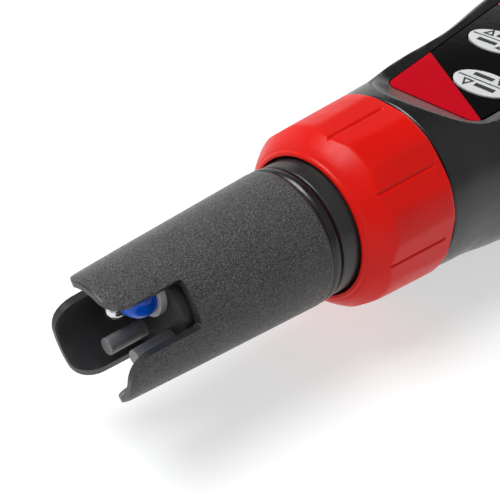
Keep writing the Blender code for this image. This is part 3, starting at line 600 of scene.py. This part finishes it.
# The shell behind the slots: places of its outer rings, its back end, and places in the bore
SHELL_FRONT = (-21.0, -18.0, -15.0, -12.0, -9.0, -6.0, -3.0, -1.0)
SHELL_BACK = ((-0.4, GUARD_R - 0.02), (0.0, GUARD_R - 0.06), (0.0, 8.55), (2.1, 8.55),
              (2.1, 10.0), (2.25, 10.22), (6.7, 10.36), (6.7, 12.3), (8.8, 12.3), (8.8, 10.2),
              (16.0, 10.2), (16.0, 7.7), (14.0, 7.7))    # O-ring groove, neck, flange and plug
SHELL_BORE = (6.0, -4.0, -14.0, -21.0)


def slot_half(x):
    """Half angle of a slot at x: round corners at its closed end, wide at the tips."""
    back = SLOT_END_X - x
    if back < SLOT_CORNER:
        return SLOT_HALF - SLOT_CORNER_DEG * (1 - sqrt(1 - (1 - back / SLOT_CORNER) ** 2))
    ahead = (TIP_X + CORNER_X - x) / CORNER_X
    if ahead <= 0.0:
        return SLOT_HALF
    return SLOT_HALF + CORNER_DEG * (1 - sqrt(max(0.0, 1 - ahead * ahead)))


def finger_stations():
    tip = [TIP_X + CORNER_X * (1 - sin(radians(a))) for a in TIP_ANGLES]
    middle = [TIP_X + CORNER_X + MIDDLE_STEP * k for k in range(MIDDLE_COUNT)]
    base = [SLOT_END_X - SLOT_CORNER * (1 - sin(radians(a))) for a in BASE_ANGLES]
    return tip + middle + base


def guard_outer(x):
    tip = max(0.0, 1.0 - (x - TIP_X) / LIP)
    return GUARD_R + GUARD_TAPER * x - LIP_OUTSIDE * tip * tip


def guard_inner(x):
    share = (x - TIP_X) / BORE_START
    tip = max(0.0, 1.0 - (x - TIP_X) / LIP)
    thin = guard_outer(TIP_X + THIN_AT) - GUARD_WALL
    return thin + (BORE_R - thin) * min(1.0, share) + LIP_INSIDE * tip * tip


def shell_rows():
    """Full rings of the shell from the slots' end out, round the back and into the bore."""
    outer = [(SLOT_END_X, guard_outer(SLOT_END_X))]
    outer += [(x, GUARD_R + GUARD_TAPER * x) for x in SHELL_FRONT]
    outer += fillet(SHELL_BACK, 0.14, 2)
    inner = [(x, BORE_R) for x in SHELL_BORE]
    return outer + inner + [(SLOT_END_X, guard_inner(SLOT_END_X))]


def make_shell():
    verts, faces = [], []
    fingers = [m + PITCH / 2 for m in SLOT_MIDDLES]

    def finger_row(x, r):
        """The three fingers' shares of a row, each finger a little shorter or not."""
        half = PITCH / 2 - slot_half(min(x, SLOT_END_X))
        row = []
        for middle, shorter in zip(fingers, SHORTER):
            start = len(verts)
            back = shorter * max(0.0, SLOT_END_X - x) / (SLOT_END_X - TIP_X)
            for k in range(FINGER_COLS + 1):
                phi = radians(middle + half * (2 * k / FINGER_COLS - 1))
                verts.append(round_about(x + back, r, phi))
            row.append(list(range(start, len(verts))))
        return row

    def full_row(x, r):
        """A row behind the slots: the fingers' shares and what joins them."""
        half = PITCH / 2 - slot_half(SLOT_END_X)
        row = finger_row(x, r)
        gaps = []
        for middle in fingers:
            start = len(verts)
            for k in range(1, SLOT_COLS):
                phi = radians(middle + half + (PITCH - 2 * half) * k / SLOT_COLS)
                verts.append(round_about(x, r, phi))
            gaps.append(list(range(start, len(verts))))
        return row, gaps

    def ring_of(full):
        row, gaps = full
        return [v for finger, gap in zip(row, gaps) for v in finger + gap]

    def slot_end(full, n):
        """The edge of the closed end of the slot after finger n."""
        row, gaps = full
        return [row[n][-1]] + gaps[n] + [row[(n + 1) % len(row)][0]]

    stations = finger_stations()
    outside = [finger_row(x, guard_outer(x)) for x in stations]
    inside = [finger_row(x, guard_inner(x)) for x in stations]
    full = [full_row(x, r) for x, r in shell_rows()]
    outside.append(full[0][0])
    inside.append(full[-1][0])
    for n in range(len(fingers)):
        for rows in (outside, inside):
            for near, far in zip(rows, rows[1:]):
                faces.extend(strip(near[n], far[n], closed=False))
        faces.extend(strip(outside[0][n], inside[0][n], closed=False))
        for side in (0, -1):
            for k in range(len(stations)):
                faces.append((outside[k][n][side], outside[k + 1][n][side],
                              inside[k + 1][n][side], inside[k][n][side]))
        faces.extend(strip(slot_end(full[0], n), slot_end(full[-1], n), closed=False))
    for near, far in zip(full, full[1:]):
        faces.extend(strip(ring_of(near), ring_of(far)))
    shell = piece("sensor_guard", verts, faces, "guard", "probe", ["probe_shell"])
    soften_rims(shell)
    polish_inside(shell)


def polish_inside(shell):
    """The spark-eroded grain is on the outside only; the bore, rims and neck are smooth."""
    shell.data.materials.append(LOOKS["guard_smooth"])
    axis = pen(0, 0, 0)
    for face in shell.data.polygons:
        x = (face.center.x - axis.x) / MM
        radius = sqrt((face.center.y - axis.y) ** 2 + (face.center.z - axis.z) ** 2) / MM
        if x > NECK_X or radius < guard_outer(x) - SKIN:
            face.material_index = 1


def soften_rims(shell):
    """Round the slotted rims of the guard; the turned rows are rounded already."""
    mesh = shell.data
    weights = mesh.attributes.new("bevel_weight_edge", "FLOAT", "EDGE")
    bm = bmesh.new()
    bm.from_mesh(mesh)
    limit = pen(SLOT_END_X + 0.1, 0, 0).x
    values = []
    for edge in bm.edges:
        bent = edge.calc_face_angle(0.0) > radians(RIM_ANGLE)
        in_front = all(v.co.x < limit for v in edge.verts)
        values.append(1.0 if bent and in_front else 0.0)
    bm.free()
    weights.data.foreach_set("value", values)
    bevel = shell.modifiers.new("rim", "BEVEL")
    bevel.width = RIM_BEVEL * MM
    bevel.segments = 3
    bevel.limit_method = "WEIGHT"
    bevel.harden_normals = True


# -------------------------------- collar nut

NUT_FRONT_X, NUT_BACK_X = 4.9, 20.1
NUT_TURN, NUT_FLATS = 4.0, 8
GROOVE_SPAN, FLAT_SPAN = (0.0, 3.2), (4.2, 22.5)    # degrees from the middle of a flat
# x and radius: the nut's round outline, and its bore from the back to the front
NUT_CREST = ((NUT_FRONT_X, 10.95), (4.93, 11.15), (5.0, 11.30), (5.12, 11.40), (5.26, 11.44),
             (5.34, 11.5), (5.42, 11.72), (5.7, 12.08), (6.2, 12.56), (6.8, 13.05),
             (7.4, 13.50), (7.9, 13.85), (8.25, 14.07), (8.6, 14.20), (9.2, 14.29),
             (14.0, 14.64), (19.4, 15.02), (19.8, 14.98), (20.0, 14.86), (NUT_BACK_X, 14.62))
NUT_INSIDE = ((NUT_BACK_X, 13.9), (NUT_BACK_X, 13.05), (19.8, 12.75), (6.4, 12.75),
              (6.4, 10.75), (NUT_FRONT_X, 10.75), (NUT_FRONT_X, 10.95))
FLAT_X, FLAT_R, FLAT_TAPER = 8.4, 13.88, 0.062
FLAT_BLEND = 0.10           # width of the soft edge between a flat and the round
GROOVE_DEPTH, GROOVE_HALF, GROOVE_SLOPE, GROOVE_BLEND = 0.24, 0.10, 1.05, 0.05
GROOVE_END_X, GROOVE_END_SLOPE = 18.7, 3.0


def nut_crest(x):
    return np.interp(x, [p[0] for p in NUT_CREST], [p[1] for p in NUT_CREST])


def nut_radius(x, delta):
    """Outer radius at x and at an angle delta from the middle of the nearest flat."""
    flat = FLAT_R + FLAT_TAPER * (x - FLAT_X)
    body = soft_min(nut_crest(x), flat / np.cos(delta), FLAT_BLEND)
    beside = np.abs(body * np.sin(delta))
    end = max(0.0, x - GROOVE_END_X) * GROOVE_END_SLOPE
    groove = flat - GROOVE_DEPTH + np.maximum(0.0, beside - GROOVE_HALF) * GROOVE_SLOPE + end
    return soft_min(body, groove, GROOVE_BLEND)


def make_nut():
    sector = 2 * pi / NUT_FLATS
    near = np.radians(np.concatenate([np.linspace(*GROOVE_SPAN, 12),
                                      np.linspace(*FLAT_SPAN, 14)]))
    deltas = np.concatenate([-near[:0:-1], near[:-1]])
    phis = np.array([radians(NUT_TURN) + sector * n + d for n in range(NUT_FLATS) for d in deltas])
    spread = np.tile(deltas, NUT_FLATS)
    xs = np.concatenate([[NUT_FRONT_X, 4.93, 5.0, 5.12, 5.26, 5.34, 5.42, 5.56],
                         np.arange(5.7, 8.9, 0.16), np.linspace(9.2, 18.0, 10),
                         np.arange(18.3, 19.3, 0.14),
                         [19.45, 19.65, 19.8, 19.92, 20.0, 20.06, NUT_BACK_X]])
    rows = [(x, nut_radius(x, spread)) for x in xs]
    lip = fillet(NUT_INSIDE, 0.12, 3)
    rows += [(x, np.full(len(phis), r)) for x, r in lip[1:-1]]
    verts, faces = loft([[round_about(x, r, phi) for r, phi in zip(radii, phis)]
                         for x, radii in rows])
    piece("collar_nut_grip", verts, faces, "red", "nut", ["collar_nut"], soft_angle=55.0)


# -------------------------------- housing

# x, half width and upper half height, lower half height, power of the superellipse
CASE_ROWS = (
    (20.4, 14.45, 14.45, 2.0), (24.0, 14.9, 14.9, 2.0), (29.0, 15.3, 15.3, 2.0),
    (36.0, 16.0, 16.0, 2.15), (50.0, 16.4, 16.9, 2.5), (62.0, 17.7, 18.4, 3.0),
    (76.0, 19.2, 19.45, 3.4), (92.0, 20.0, 20.0, 3.6), (131.0, 20.0, 20.0, 3.6),
)
# x, half width, upper and lower half height, power
CAVITY_ROWS = (
    (9.0, 10.5, 10.5, 10.5, 2.0), (18.5, 10.5, 10.5, 10.5, 2.0), (18.7, 8.7, 8.7, 8.7, 2.0),
    (29.0, 8.7, 8.7, 8.7, 2.0), (37.0, 11.0, 9.0, 11.5, 2.2), (48.0, 13.0, 10.4, 13.6, 2.4),
    (62.0, 14.8, 12.4, 15.4, 2.9), (80.0, 16.9, 15.0, 17.2, 3.4), (92.0, 17.8, 16.6, 17.8, 3.6),
    (108.0, 17.8, 17.4, 17.8, 3.6), (131.0, 17.8, 17.8, 17.8, 3.6),
)
CAVITY_XS = (131.0, 124.0, 116.0, 108.0, 100.0, 92.0, 86.0, 80.0, 74.0, 68.0, 62.0, 55.0, 48.0,
             42.0, 37.0, 34.0, 32.0, 29.0, 18.7, 18.5, 12.0, 10.6)
SHOULDER_X = 20.68          # front of the housing, behind the nut's seam
CASE_LIMIT = 20.0           # the rows' smooth curve may not swell past the head
SHOULDER_EDGE, BACK_EDGE_X, EDGE_SLOPE = 0.16, 130.75, 0.9      # its two broken edges
BACK_FLAT, BACK_FLAT_X, BACK_BLEND = 19.6, 60.0, 0.25     # the flat that the pen lies on
THREAD_X, THREAD_PITCH, THREAD_COUNT = 11.6, 2.5, 3
THREAD_ROOT_R, THREAD_R = 11.9, 12.38

LABEL_START, LABEL_END, LABEL_MIDDLE = 31.2, 106.0, 60.0
LABEL_START_HALF, LABEL_HALF = 8.8, 12.0
LABEL_SIDES = ((LABEL_START, LABEL_START_HALF), (64.0, 11.15), (70.0, 11.7), (75.0, 11.88),
               (83.0, LABEL_HALF), (LABEL_END, LABEL_HALF))
POCKET_GAP = 0.25           # between the label and the edge of its pocket
START_CORNER, END_CORNER = 2.4, 5.5     # the bevel's corners
SIDE_RISE, START_RISE, END_RISE = 0.3155, 0.582, 0.508    # slopes of the bevel
BEVEL_START, BEVEL_END = LABEL_START - 14.5, LABEL_END + 17.0
BEVEL_BLEND = 0.12          # width of the bevel's soft outer edge
INSIDE_FLOOR = -0.45        # the panel is left this deep inside the label's edge, then cut out
CEILING = -2.4              # underside of the panel's wall, from the panel's plane
CEILING_X = 33.0            # it begins here
UP = 0.05                   # sines above this look toward the panel
AWAY = 5.0                  # a radius this much larger is out of a cut's way


def smooth_row(rows, x):
    """Values at x from rows that start with x, joined by a smooth curve."""
    if x <= rows[0][0]:
        return rows[0][1:]
    if x >= rows[-1][0]:
        return rows[-1][1:]
    k = max(i for i, row in enumerate(rows[:-1]) if row[0] <= x)
    a, b = rows[k], rows[k + 1]
    before, after = rows[max(k - 1, 0)], rows[min(k + 2, len(rows) - 1)]
    span = b[0] - a[0]
    t = (x - a[0]) / span
    values = []
    for i in range(1, len(a)):
        slope_a = (b[i] - before[i]) / (b[0] - before[0]) * span
        slope_b = (after[i] - a[i]) / (after[0] - a[0]) * span
        values.append((2 * t**3 - 3 * t**2 + 1) * a[i] + (t**3 - 2 * t**2 + t) * slope_a
                      + (3 * t**2 - 2 * t**3) * b[i] + (t**3 - t**2) * slope_b)
    return values


def panel_height(x):
    """Height of the panel's plane over the pen's axis."""
    return PANEL_Z + PANEL_SLOPE * (x - PANEL_X)


def label_half(x):
    """Half width of the label at x; its sides draw in toward the neck."""
    return np.interp(x, [r[0] for r in LABEL_SIDES], [r[1] for r in LABEL_SIDES])


def ramp_height(x, y):
    """Height above the panel's plane of the bevel round the label."""
    corner = START_CORNER if x < LABEL_MIDDLE else END_CORNER
    side = np.abs(y) - label_half(x) - POCKET_GAP + corner
    start = (LABEL_START - POCKET_GAP) - x + corner
    end = x - (LABEL_END + POCKET_GAP) + corner
    along, rise = (start, START_RISE) if x < LABEL_MIDDLE else (end, END_RISE)
    qx, qy = np.maximum(along, 0.0), np.maximum(side, 0.0)
    distance = np.sqrt(qx * qx + qy * qy) + np.minimum(np.maximum(along, side), 0.0) - corner
    share = qx * qx / np.maximum(qx * qx + qy * qy, 1e-9)
    return np.maximum(distance * (SIDE_RISE * (1 - share) + rise * share), INSIDE_FLOOR)


def section_radius(half, top, under, power, c, s):
    """Radius of a superellipse whose upper and lower halves may differ in height."""
    height = np.where(s > 0, top, under)
    return (np.abs(c / half) ** power + np.abs(s / height) ** power) ** (-1.0 / power)


def outer_radius(x, turns):
    """Radius of the housing at each angle, with the panel's bevel and the flat back cut in."""
    half, under, power = smooth_row(CASE_ROWS, x)
    half, under = min(half, CASE_LIMIT), min(under, CASE_LIMIT)
    c, s = np.cos(turns), np.sin(turns)
    r = section_radius(half, half, under, power, c, s)
    if x > BACK_FLAT_X:
        r = np.where(s < 0, soft_min(r, BACK_FLAT / np.maximum(-s, 1e-3), BACK_BLEND), r)
    if x < BEVEL_START or x > BEVEL_END:
        return r
    low, high = np.full(len(turns), 4.0), r.copy()
    for _ in range(30):
        middle = (low + high) / 2
        above = middle * s - panel_height(x) - ramp_height(x, middle * c) / cos(PANEL_TILT)
        low = np.where(above < 0, middle, low)
        high = np.where(above < 0, high, middle)
    bevel = np.where(s > UP, (low + high) / 2, r + AWAY)
    return soft_min(r, np.where(bevel > r - 1e-6, r + AWAY, bevel), BEVEL_BLEND)


def cavity_radius(x, turns):
    c, s = np.cos(turns), np.sin(turns)
    r = section_radius(*smooth_row(CAVITY_ROWS, x), c, s)
    if x < CEILING_X:
        return r
    ceiling = panel_height(x) + CEILING
    return np.where(s > UP, np.minimum(r, ceiling / np.maximum(s, UP)), r)


def housing_turns():
    """Angles round a section, closer together on the panel's side."""
    top = np.radians(np.linspace(0.0, 180.0, 151)[:-1])
    under = np.radians(np.linspace(180.0, 360.0, 61)[:-1])
    return np.concatenate([top, under])


def neck_profile():
    """The neck with its thread, which the collar nut covers."""
    points = [(10.6, 11.5), (10.6, 11.7), (10.9, THREAD_ROOT_R)]
    for k in range(THREAD_COUNT):
        x = THREAD_X + THREAD_PITCH * k
        points += [(x, THREAD_ROOT_R), (x + 0.45, THREAD_R), (x + 0.8, THREAD_R),
                   (x + 1.25, THREAD_ROOT_R)]
    points += [(SHOULDER_X - 0.05, THREAD_ROOT_R), (SHOULDER_X, 12.2), (SHOULDER_X, 14.0)]
    return fillet(points, 0.12, 2)


def make_housing():
    turns = housing_turns()
    rows = [(x, np.full(len(turns), r)) for x, r in neck_profile()]
    xs = np.concatenate([[SHOULDER_X + 0.03, SHOULDER_X + 0.10, SHOULDER_X + 0.20],
                         np.arange(21.1, 34.0, 0.4), np.arange(34.4, 104.0, 1.45),
                         np.arange(104.4, 123.4, 0.6),
                         [125.0, 127.5, 130.0, 130.7, 130.9, 131.0]])
    for x in xs:
        edge = (max(0.0, SHOULDER_EDGE - (x - SHOULDER_X) * EDGE_SLOPE)
                + max(0.0, x - BACK_EDGE_X) * EDGE_SLOPE)
        rows.append((x, outer_radius(x, turns) - edge))
    rows += [(x, cavity_radius(x, turns)) for x in CAVITY_XS]
    c, s = np.cos(turns), np.sin(turns)
    verts, faces = loft([[pen(x, r * a, r * b) for r, a, b in zip(radii, c, s)]
                         for x, radii in rows])
    housing = piece("case_shell", verts, faces, "black", "case", ["housing"])
    cutters = [cutter("pocket_cut", label_outline(POCKET_GAP), -0.7, 6.0)]
    for name, outline in key_outlines(HOLE_GAP) + [("window", window_outline(HOLE_GAP))]:
        cutters.append(cutter(f"{name}_cut", outline, -6.0, 3.0))
    cut(housing, cutters)


# -------------------------------- panel: outlines, keys and prints

# Middle and half sizes of each key, on the panel
KEYS = {
    "key_mode": ((40.44, -2.83), (3.05, 5.28)),
    "key_temp": ((52.2, 3.37), (3.05, 5.28)),
    "key_power": ((63.2, -2.6), (3.4, 3.4)),
}
WINDOW_LOW, WINDOW_HIGH, WINDOW_CORNER = (73.5, -9.3), (100.5, 9.3), 2.0
LABEL_START_CORNER, LABEL_END_CORNER = 1.7, 5.5
LABEL_DRAWN_IN = ((63.1, 0.85), (75.0, 0.12), (83.0, 0.0))   # along the sides, from the full width
HOLE_GAP = 0.3              # round the keys and the window
OVAL_STEPS = 72

INK_FOOT, INK_TOP = -0.3, 0.02          # from the film's top
INK_OVER = 0.03             # the print goes this far past the label's edge
RED_TIP_EDGE = ((42.9, 9.5), (-18.0, 10.6))     # a point on a field's edge, and where it lies
RED_HEAD_EDGE = ((62.9, 11.1), (1.0, -0.45))
POWER_FRAME_R, WINDOW_FRAME = 4.6, 1.7

KEY_TOP = 0.26              # the keys' tops stand this far above the panel's plane
# A key's section: height above the panel's plane, and how far it is grown past the key's edge
KEY_LEVELS = (
    [(-3.2, 0.8), (-2.6, 0.8), (-2.6, 0.0), (0.02, 0.0)]
    + [(0.02 + 0.16 * sin(radians(a)), -0.16 * (1 - cos(radians(a))))
       for a in (15, 30, 45, 60, 75, 90)]
    + [(0.22, -1.0), (KEY_TOP - 0.02, -1.8), (KEY_TOP, -2.5)]
)
SIGN_FOOT, SIGN_TOP = 0.1, KEY_TOP + 0.025
RULE_WIDTH, LINE_WIDTH, BAR_WIDTH = 0.24, 0.3, 0.85
RULE_X, RULE_HALF = 0.05, 4.7           # the line between an oval key's two signs
ARROW = 1.45                # size of the arrows on the oval keys
ARROW_PLACES = ((1.5, 2.3), (-1.4, -2.2))           # x and y from the key's middle
BAR_PLACES = ((1.35, 0.9, -2.7), (-1.2, -0.7, 2.9))     # x, first y and last y
POWER_RING_R, POWER_TICK = 1.6, (0.4, 2.0)


def arc(centre, radius, start_deg, end_deg, steps=8):
    turns = [radians(start_deg + (end_deg - start_deg) * k / steps) for k in range(steps + 1)]
    return [(centre[0] + radius * cos(a), centre[1] + radius * sin(a)) for a in turns]


def label_outline(grow):
    """The label's edge as (x, y), grown outward."""
    start, end = LABEL_START - grow, LABEL_END + grow
    narrow, wide = LABEL_START_HALF + grow, LABEL_HALF + grow
    small, large = LABEL_START_CORNER + grow, LABEL_END_CORNER + grow
    right = arc((start + small, narrow - small), small, 180, 94)
    right += [(x, wide - drawn_in) for x, drawn_in in LABEL_DRAWN_IN]
    right += arc((end - large, wide - large), large, 90, 0)
    return right + [(x, -y) for x, y in reversed(right)]


def oval(centre, half_x, half_y):
    turns = [2 * pi * k / OVAL_STEPS for k in range(OVAL_STEPS)]
    return [(centre[0] + half_x * cos(a), centre[1] + half_y * sin(a)) for a in turns]


def key_outlines(grow):
    return [(name, oval(place, half[0] + grow, half[1] + grow))
            for name, (place, half) in KEYS.items()]


def window_outline(grow):
    (x0, y0), (x1, y1) = WINDOW_LOW, WINDOW_HIGH
    x0, y0, x1, y1 = x0 - grow, y0 - grow, x1 + grow, y1 + grow
    r = WINDOW_CORNER + grow
    corners = ((x1 - r, y1 - r, 0), (x0 + r, y1 - r, 90), (x0 + r, y0 + r, 180),
               (x1 - r, y0 + r, 270))
    return [p for x, y, a in corners for p in arc((x, y), r, a, a + 90)]


def prism(outline, low, high):
    """Vertices and faces of an outline on the panel, raised along the panel's normal."""
    count = len(outline)
    verts = [panel(x, y, out) for out in (low, high) for x, y in outline]
    faces = [list(range(count)), list(range(count, 2 * count))]
    faces += [(k, (k + 1) % count, count + (k + 1) % count, count + k) for k in range(count)]
    return verts, faces


def cutter(name, outline, low, high):
    """A tool for cut(), which removes it."""
    made = closed_mesh(name, *prism(outline, low, high))
    made.hide_render = True
    return made


def clip(outline, point, toward):
    """The part of an outline on the side of a line through `point` that `toward` faces."""
    kept = []
    sides = [(x - point[0]) * toward[0] + (y - point[1]) * toward[1] for x, y in outline]
    for k, (a, side_a) in enumerate(zip(outline, sides)):
        b, side_b = outline[(k + 1) % len(outline)], sides[(k + 1) % len(outline)]
        if side_a >= 0:
            kept.append(a)
        if (side_a >= 0) != (side_b >= 0):
            t = side_a / (side_a - side_b)
            kept.append((a[0] + (b[0] - a[0]) * t, a[1] + (b[1] - a[1]) * t))
    return kept


def make_label_print():
    """Two red fields on the black film, the upper one with holes for a key and the display."""
    edge = label_outline(INK_OVER)
    fields = [piece(name, *prism(clip(edge, *line), INK_FOOT, INK_TOP), "red_ink", "case")
              for name, line in (("label_red_tip", RED_TIP_EDGE),
                                 ("label_red_head", RED_HEAD_EDGE))]
    power, _ = KEYS["key_power"]
    holes = [cutter("print_power", oval(power, POWER_FRAME_R, POWER_FRAME_R), -1.0, 1.0),
             cutter("print_window", window_outline(WINDOW_FRAME), -1.0, 1.0)]
    cut(fields[1], holes)


def make_key(name):
    place, half = KEYS[name]
    verts, faces = [], []
    for out, grow in KEY_LEVELS:
        verts += [panel(x, y, out) for x, y in oval(place, half[0] + grow, half[1] + grow)]
    last = (len(KEY_LEVELS) - 1) * OVAL_STEPS
    for start in range(0, last, OVAL_STEPS):
        first = list(range(start, start + OVAL_STEPS))
        faces += strip(first, [v + OVAL_STEPS for v in first])
    faces += [list(range(OVAL_STEPS)), list(range(last, last + OVAL_STEPS))]
    piece(f"{name}_cap", verts, faces, "key", f"{name}_body", [name])


def stroke(name, points, width, body, closed=False):
    """A printed line of even width on top of a key."""
    half = width / 2
    pts = [Vector(p) for p in points]
    verts, faces = [], []
    count = len(pts)
    for k, p in enumerate(pts):
        before = pts[k - 1] if closed or k else None
        after = pts[(k + 1) % count] if closed or k < count - 1 else None
        into = (p - before).normalized() if before is not None else (after - p).normalized()
        away = (after - p).normalized() if after is not None else into
        normal = Vector((-(into + away).y, (into + away).x)).normalized()
        reach = half / max(0.35, normal.dot(Vector((-into.y, into.x))))
        for side in (-reach, reach):
            q = p + normal * side
            verts += [panel(q.x, q.y, SIGN_FOOT), panel(q.x, q.y, SIGN_TOP)]
    last = count if closed else count - 1
    for k in range(last):
        a, b = 4 * k, 4 * ((k + 1) % count)
        faces += [(a, b, b + 1, a + 1), (a + 1, b + 1, b + 3, a + 3), (a + 3, b + 3, b + 2, a + 2),
                  (a + 2, b + 2, b, a)]
    if not closed:
        tail = 4 * (count - 1)
        faces += [(0, 1, 3, 2), (tail, tail + 1, tail + 3, tail + 2)]
    piece(name, verts, faces, "key_ink", body)


def triangle(x, y, lean):
    """An upright triangle pointing up the pen, or down it for lean -1."""
    return [(x - ARROW * 0.5 * lean, y - ARROW * 0.55), (x - ARROW * 0.5 * lean, y + ARROW * 0.55),
            (x + ARROW * 0.5 * lean, y)]


def make_key_signs():
    """Plain arrow outlines and bars in place of words."""
    for name, lean in (("key_mode", -1.0), ("key_temp", 1.0)):
        (x, y), _ = KEYS[name]
        body = f"{name}_body"
        rule = [(x + RULE_X, y + RULE_HALF), (x + RULE_X, y - RULE_HALF)]
        stroke(f"{name}_rule", rule, RULE_WIDTH, body)
        for number, (px, py) in enumerate(ARROW_PLACES, 1):
            arrow = triangle(x + px, y + py * lean, lean)
            stroke(f"{name}_arrow_{number}", arrow, LINE_WIDTH, body, closed=True)
        for number, (px, first, last) in enumerate(BAR_PLACES, 1):
            bar = [(x + px, y + first * lean), (x + px, y + last * lean)]
            stroke(f"{name}_bar_{number}", bar, BAR_WIDTH, body)
    (x, y), _ = KEYS["key_power"]
    ring = [(x - POWER_RING_R * cos(radians(a)), y - POWER_RING_R * sin(radians(a)))
            for a in range(-140, 141, 14)]
    stroke("key_power_ring", ring, LINE_WIDTH, "key_power_body")
    tick = [(x + px, y) for px in POWER_TICK]
    stroke("key_power_tick", tick, LINE_WIDTH, "key_power_body")


# -------------------------------- O-ring, tube, rods and bulb

RING_X, RING_R, RING_HALF_X, RING_HALF_R = 1.05, 9.55, 1.0, 0.85
TUBE_AT, TUBE_TIP_X, TUBE_BACK_X = (3.76, -0.3), -27.4, -10.0
TUBE_R, TUBE_BORE_R = 1.5, 1.15
ROD_PLACES, ROD_TIP_X, ROD_BACK_X, ROD_R = ((2.13, -4.0), (-4.02, -2.0)), -28.8, -12.0, 1.2
BULB_AT, BULB_X, STEM_BACK_X = (-0.08, 3.47), -24.8, -8.0
BULB_R, STEM_R, BULB_BORE_R, STEM_BORE_R = 2.85, 2.25, 2.5, 1.75
COLLAR = ((-22.0, 2.55), (-23.9, 2.55), (-23.9, 3.4), (-17.0, 3.4), (-17.0, 2.6), (-22.0, 2.6))
TUBE_STEPS, BULB_STEPS = 40, 56


def bulb_outline(radius, stem):
    """The blown bulb from its tip round to the stem's back end."""
    last = 180.0 - degrees(asin(stem / radius))
    turns = [radians(last * k / 16) for k in range(17)]
    points = [(BULB_X - radius * cos(a), radius * sin(a)) for a in turns]
    points[0] = (BULB_X - radius, 0.0)
    return points + [(STEM_BACK_X, stem)]


def make_turned_pieces():
    """Finer versions of the round pieces that show between the fingers and in the groove."""
    ring = [(RING_X + RING_HALF_X * cos(radians(a)), RING_R + RING_HALF_R * sin(radians(a)))
            for a in range(0, 360, 15)]
    revolve("guard_o_ring", ring, "rubber", "probe", ["guard_ring"])
    middle = TUBE_TIP_X + TUBE_R
    dome = [(TUBE_TIP_X + TUBE_R * (1 - cos(radians(a))), TUBE_R * sin(radians(a)))
            for a in range(0, 91, 9)]
    hollow = [(middle - TUBE_BORE_R * cos(radians(a)), TUBE_BORE_R * sin(radians(a)))
              for a in range(90, -1, -15)]
    dome[0], hollow[-1] = (TUBE_TIP_X, 0.0), (middle - TUBE_BORE_R, 0.0)
    ends = [(TUBE_BACK_X, TUBE_R), (TUBE_BACK_X, TUBE_BORE_R)]
    revolve("temperature_tube", dome + ends + hollow, "steel", "probe", ["temp_tube"], TUBE_AT,
            TUBE_STEPS)
    rod = fillet([(ROD_TIP_X, 0.0), (ROD_TIP_X, ROD_R), (ROD_BACK_X, ROD_R), (ROD_BACK_X, 0.0)],
                 0.14)
    for number, place in enumerate(ROD_PLACES, 1):
        revolve(f"conductivity_rod_{number}", rod, "graphite", "probe",
                [f"graphite_rod_{number}"], place, TUBE_STEPS)
    collar = fillet(COLLAR, 0.16)[:-1]
    revolve("junction_collar", collar, "ceramic", "probe", ["junction_ring"], BULB_AT, BULB_STEPS)
    bulb = bulb_outline(BULB_R, STEM_R) + bulb_outline(BULB_BORE_R, STEM_BORE_R)[::-1]
    revolve("blue_bulb", bulb, "glass", "probe", ["glass_electrode"], BULB_AT, BULB_STEPS)


make_shell()
make_nut()
make_turned_pieces()
make_housing()
make_label_print()
for key_name in KEYS:
    make_key(key_name)
make_key_signs()
